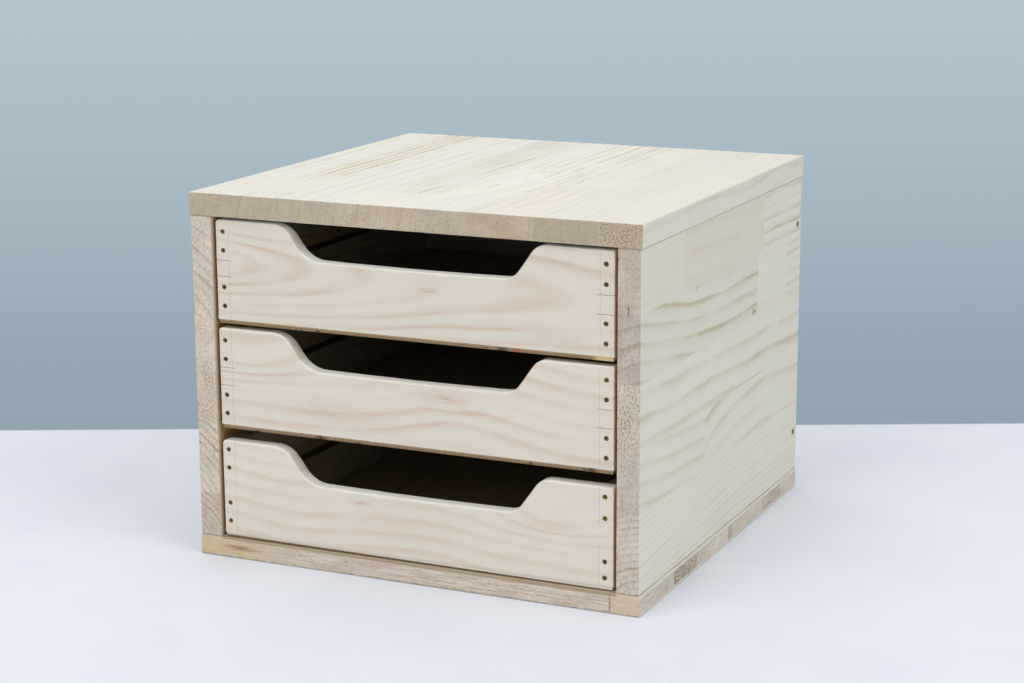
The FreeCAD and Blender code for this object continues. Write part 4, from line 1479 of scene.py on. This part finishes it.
floor_finish.tree.links.new(both.socket, floor_finish.tree.nodes["Material Output"].inputs["Surface"])
floor = new_piece("floor", floor_mesh, floor_material)
floor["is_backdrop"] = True

# %% The light
# The sky's strength near the horizon and high up.
WORLD_LIGHT = (0.27, 0.62)
DAYLIGHT = shade(240, 244, 250)
world = bpy.data.worlds.new("overcast")
bpy.context.scene.world = world
world.use_nodes = True
sky = Nodes(world.node_tree)
direction = sky.node("ShaderNodeTexCoord", output="Generated")
height = sky.node("ShaderNodeSeparateXYZ", sockets=[direction], output=2)
low_light, high_light = ([part * level for part in DAYLIGHT[:3]] + [1.0] for level in WORLD_LIGHT)
light_colour = sky.mix(height.ramp(0.15, 0.75), low_light, high_light)
sky_colour = sky.mix(sky.seen(), light_colour, shade(178, 196, 204))
sky.tree.links.new(sky_colour.socket, sky.tree.nodes["Background"].inputs["Color"])


def lamp(name, size, place, aim, watts, colour):
    """A large soft lamp at a place, turned towards another."""
    light = bpy.data.lights.new(name, "AREA")
    light.size = size
    light.energy = watts
    light.color = colour
    holder = bpy.data.objects.new(name, light)
    bpy.context.scene.collection.objects.link(holder)
    holder.location = place
    holder.rotation_euler = (Vector(aim) - Vector(place)).to_track_quat("-Z", "Y").to_euler()


TRAY_MIDDLE = (0, 0, 0.15)
lamp("overhead", 2.0, (0.2, -0.2, 2.8), TRAY_MIDDLE, 12, (1.0, 0.995, 0.985))
lamp("front", 2.0, (-0.7, -1.9, 2.2), TRAY_MIDDLE, 22, (1.0, 0.98, 0.95))
lamp("right", 2.0, (2.1, -0.7, 2.1), TRAY_MIDDLE, 26.6, (1.0, 0.98, 0.93))
lamp("rear_left", 2.0, (-1.5, 1.6, 2.3), TRAY_MIDDLE, 12, (1.0, 0.99, 0.97))

# %% [markdown]
# The camera stands where the photographer stood: a little above the tray, to the right, with a long lens
# that keeps the tray's edges almost parallel.

# %% The camera
IMAGE_WIDTH = 1024
FOCAL_PIXELS = 2257.2
CAMERA_PLACE = Vector((0.7658, -1.6609, 0.5698))
HEADING = -0.43193
DOWNWARD = 0.2243
ROLL = -0.0049

forward = Vector((
    math.sin(HEADING) * math.cos(DOWNWARD), math.cos(HEADING) * math.cos(DOWNWARD), -math.sin(DOWNWARD)
))
level = Vector((math.cos(HEADING), -math.sin(HEADING), 0))
upright = level.cross(forward)
right = level * math.cos(ROLL) + upright * math.sin(ROLL)
up = upright * math.cos(ROLL) - level * math.sin(ROLL)
camera_data = bpy.data.cameras.new("camera")
camera_data.sensor_width = 36.0
camera_data.lens = FOCAL_PIXELS / IMAGE_WIDTH * camera_data.sensor_width
camera = bpy.data.objects.new("camera", camera_data)
bpy.context.scene.collection.objects.link(camera)
turn = Matrix((right, up, -forward)).transposed().to_4x4()
camera.matrix_world = Matrix.Translation(CAMERA_PLACE) @ turn
bpy.context.scene.camera = camera
bpy.context.scene.view_settings.view_transform = "Standard"
print("Lens of", round(camera_data.lens, 1), "mm")

# %% Sizes and the end
low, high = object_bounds()
print("Visual box", [round(v / MM, 2) for v in (*low, *high)])
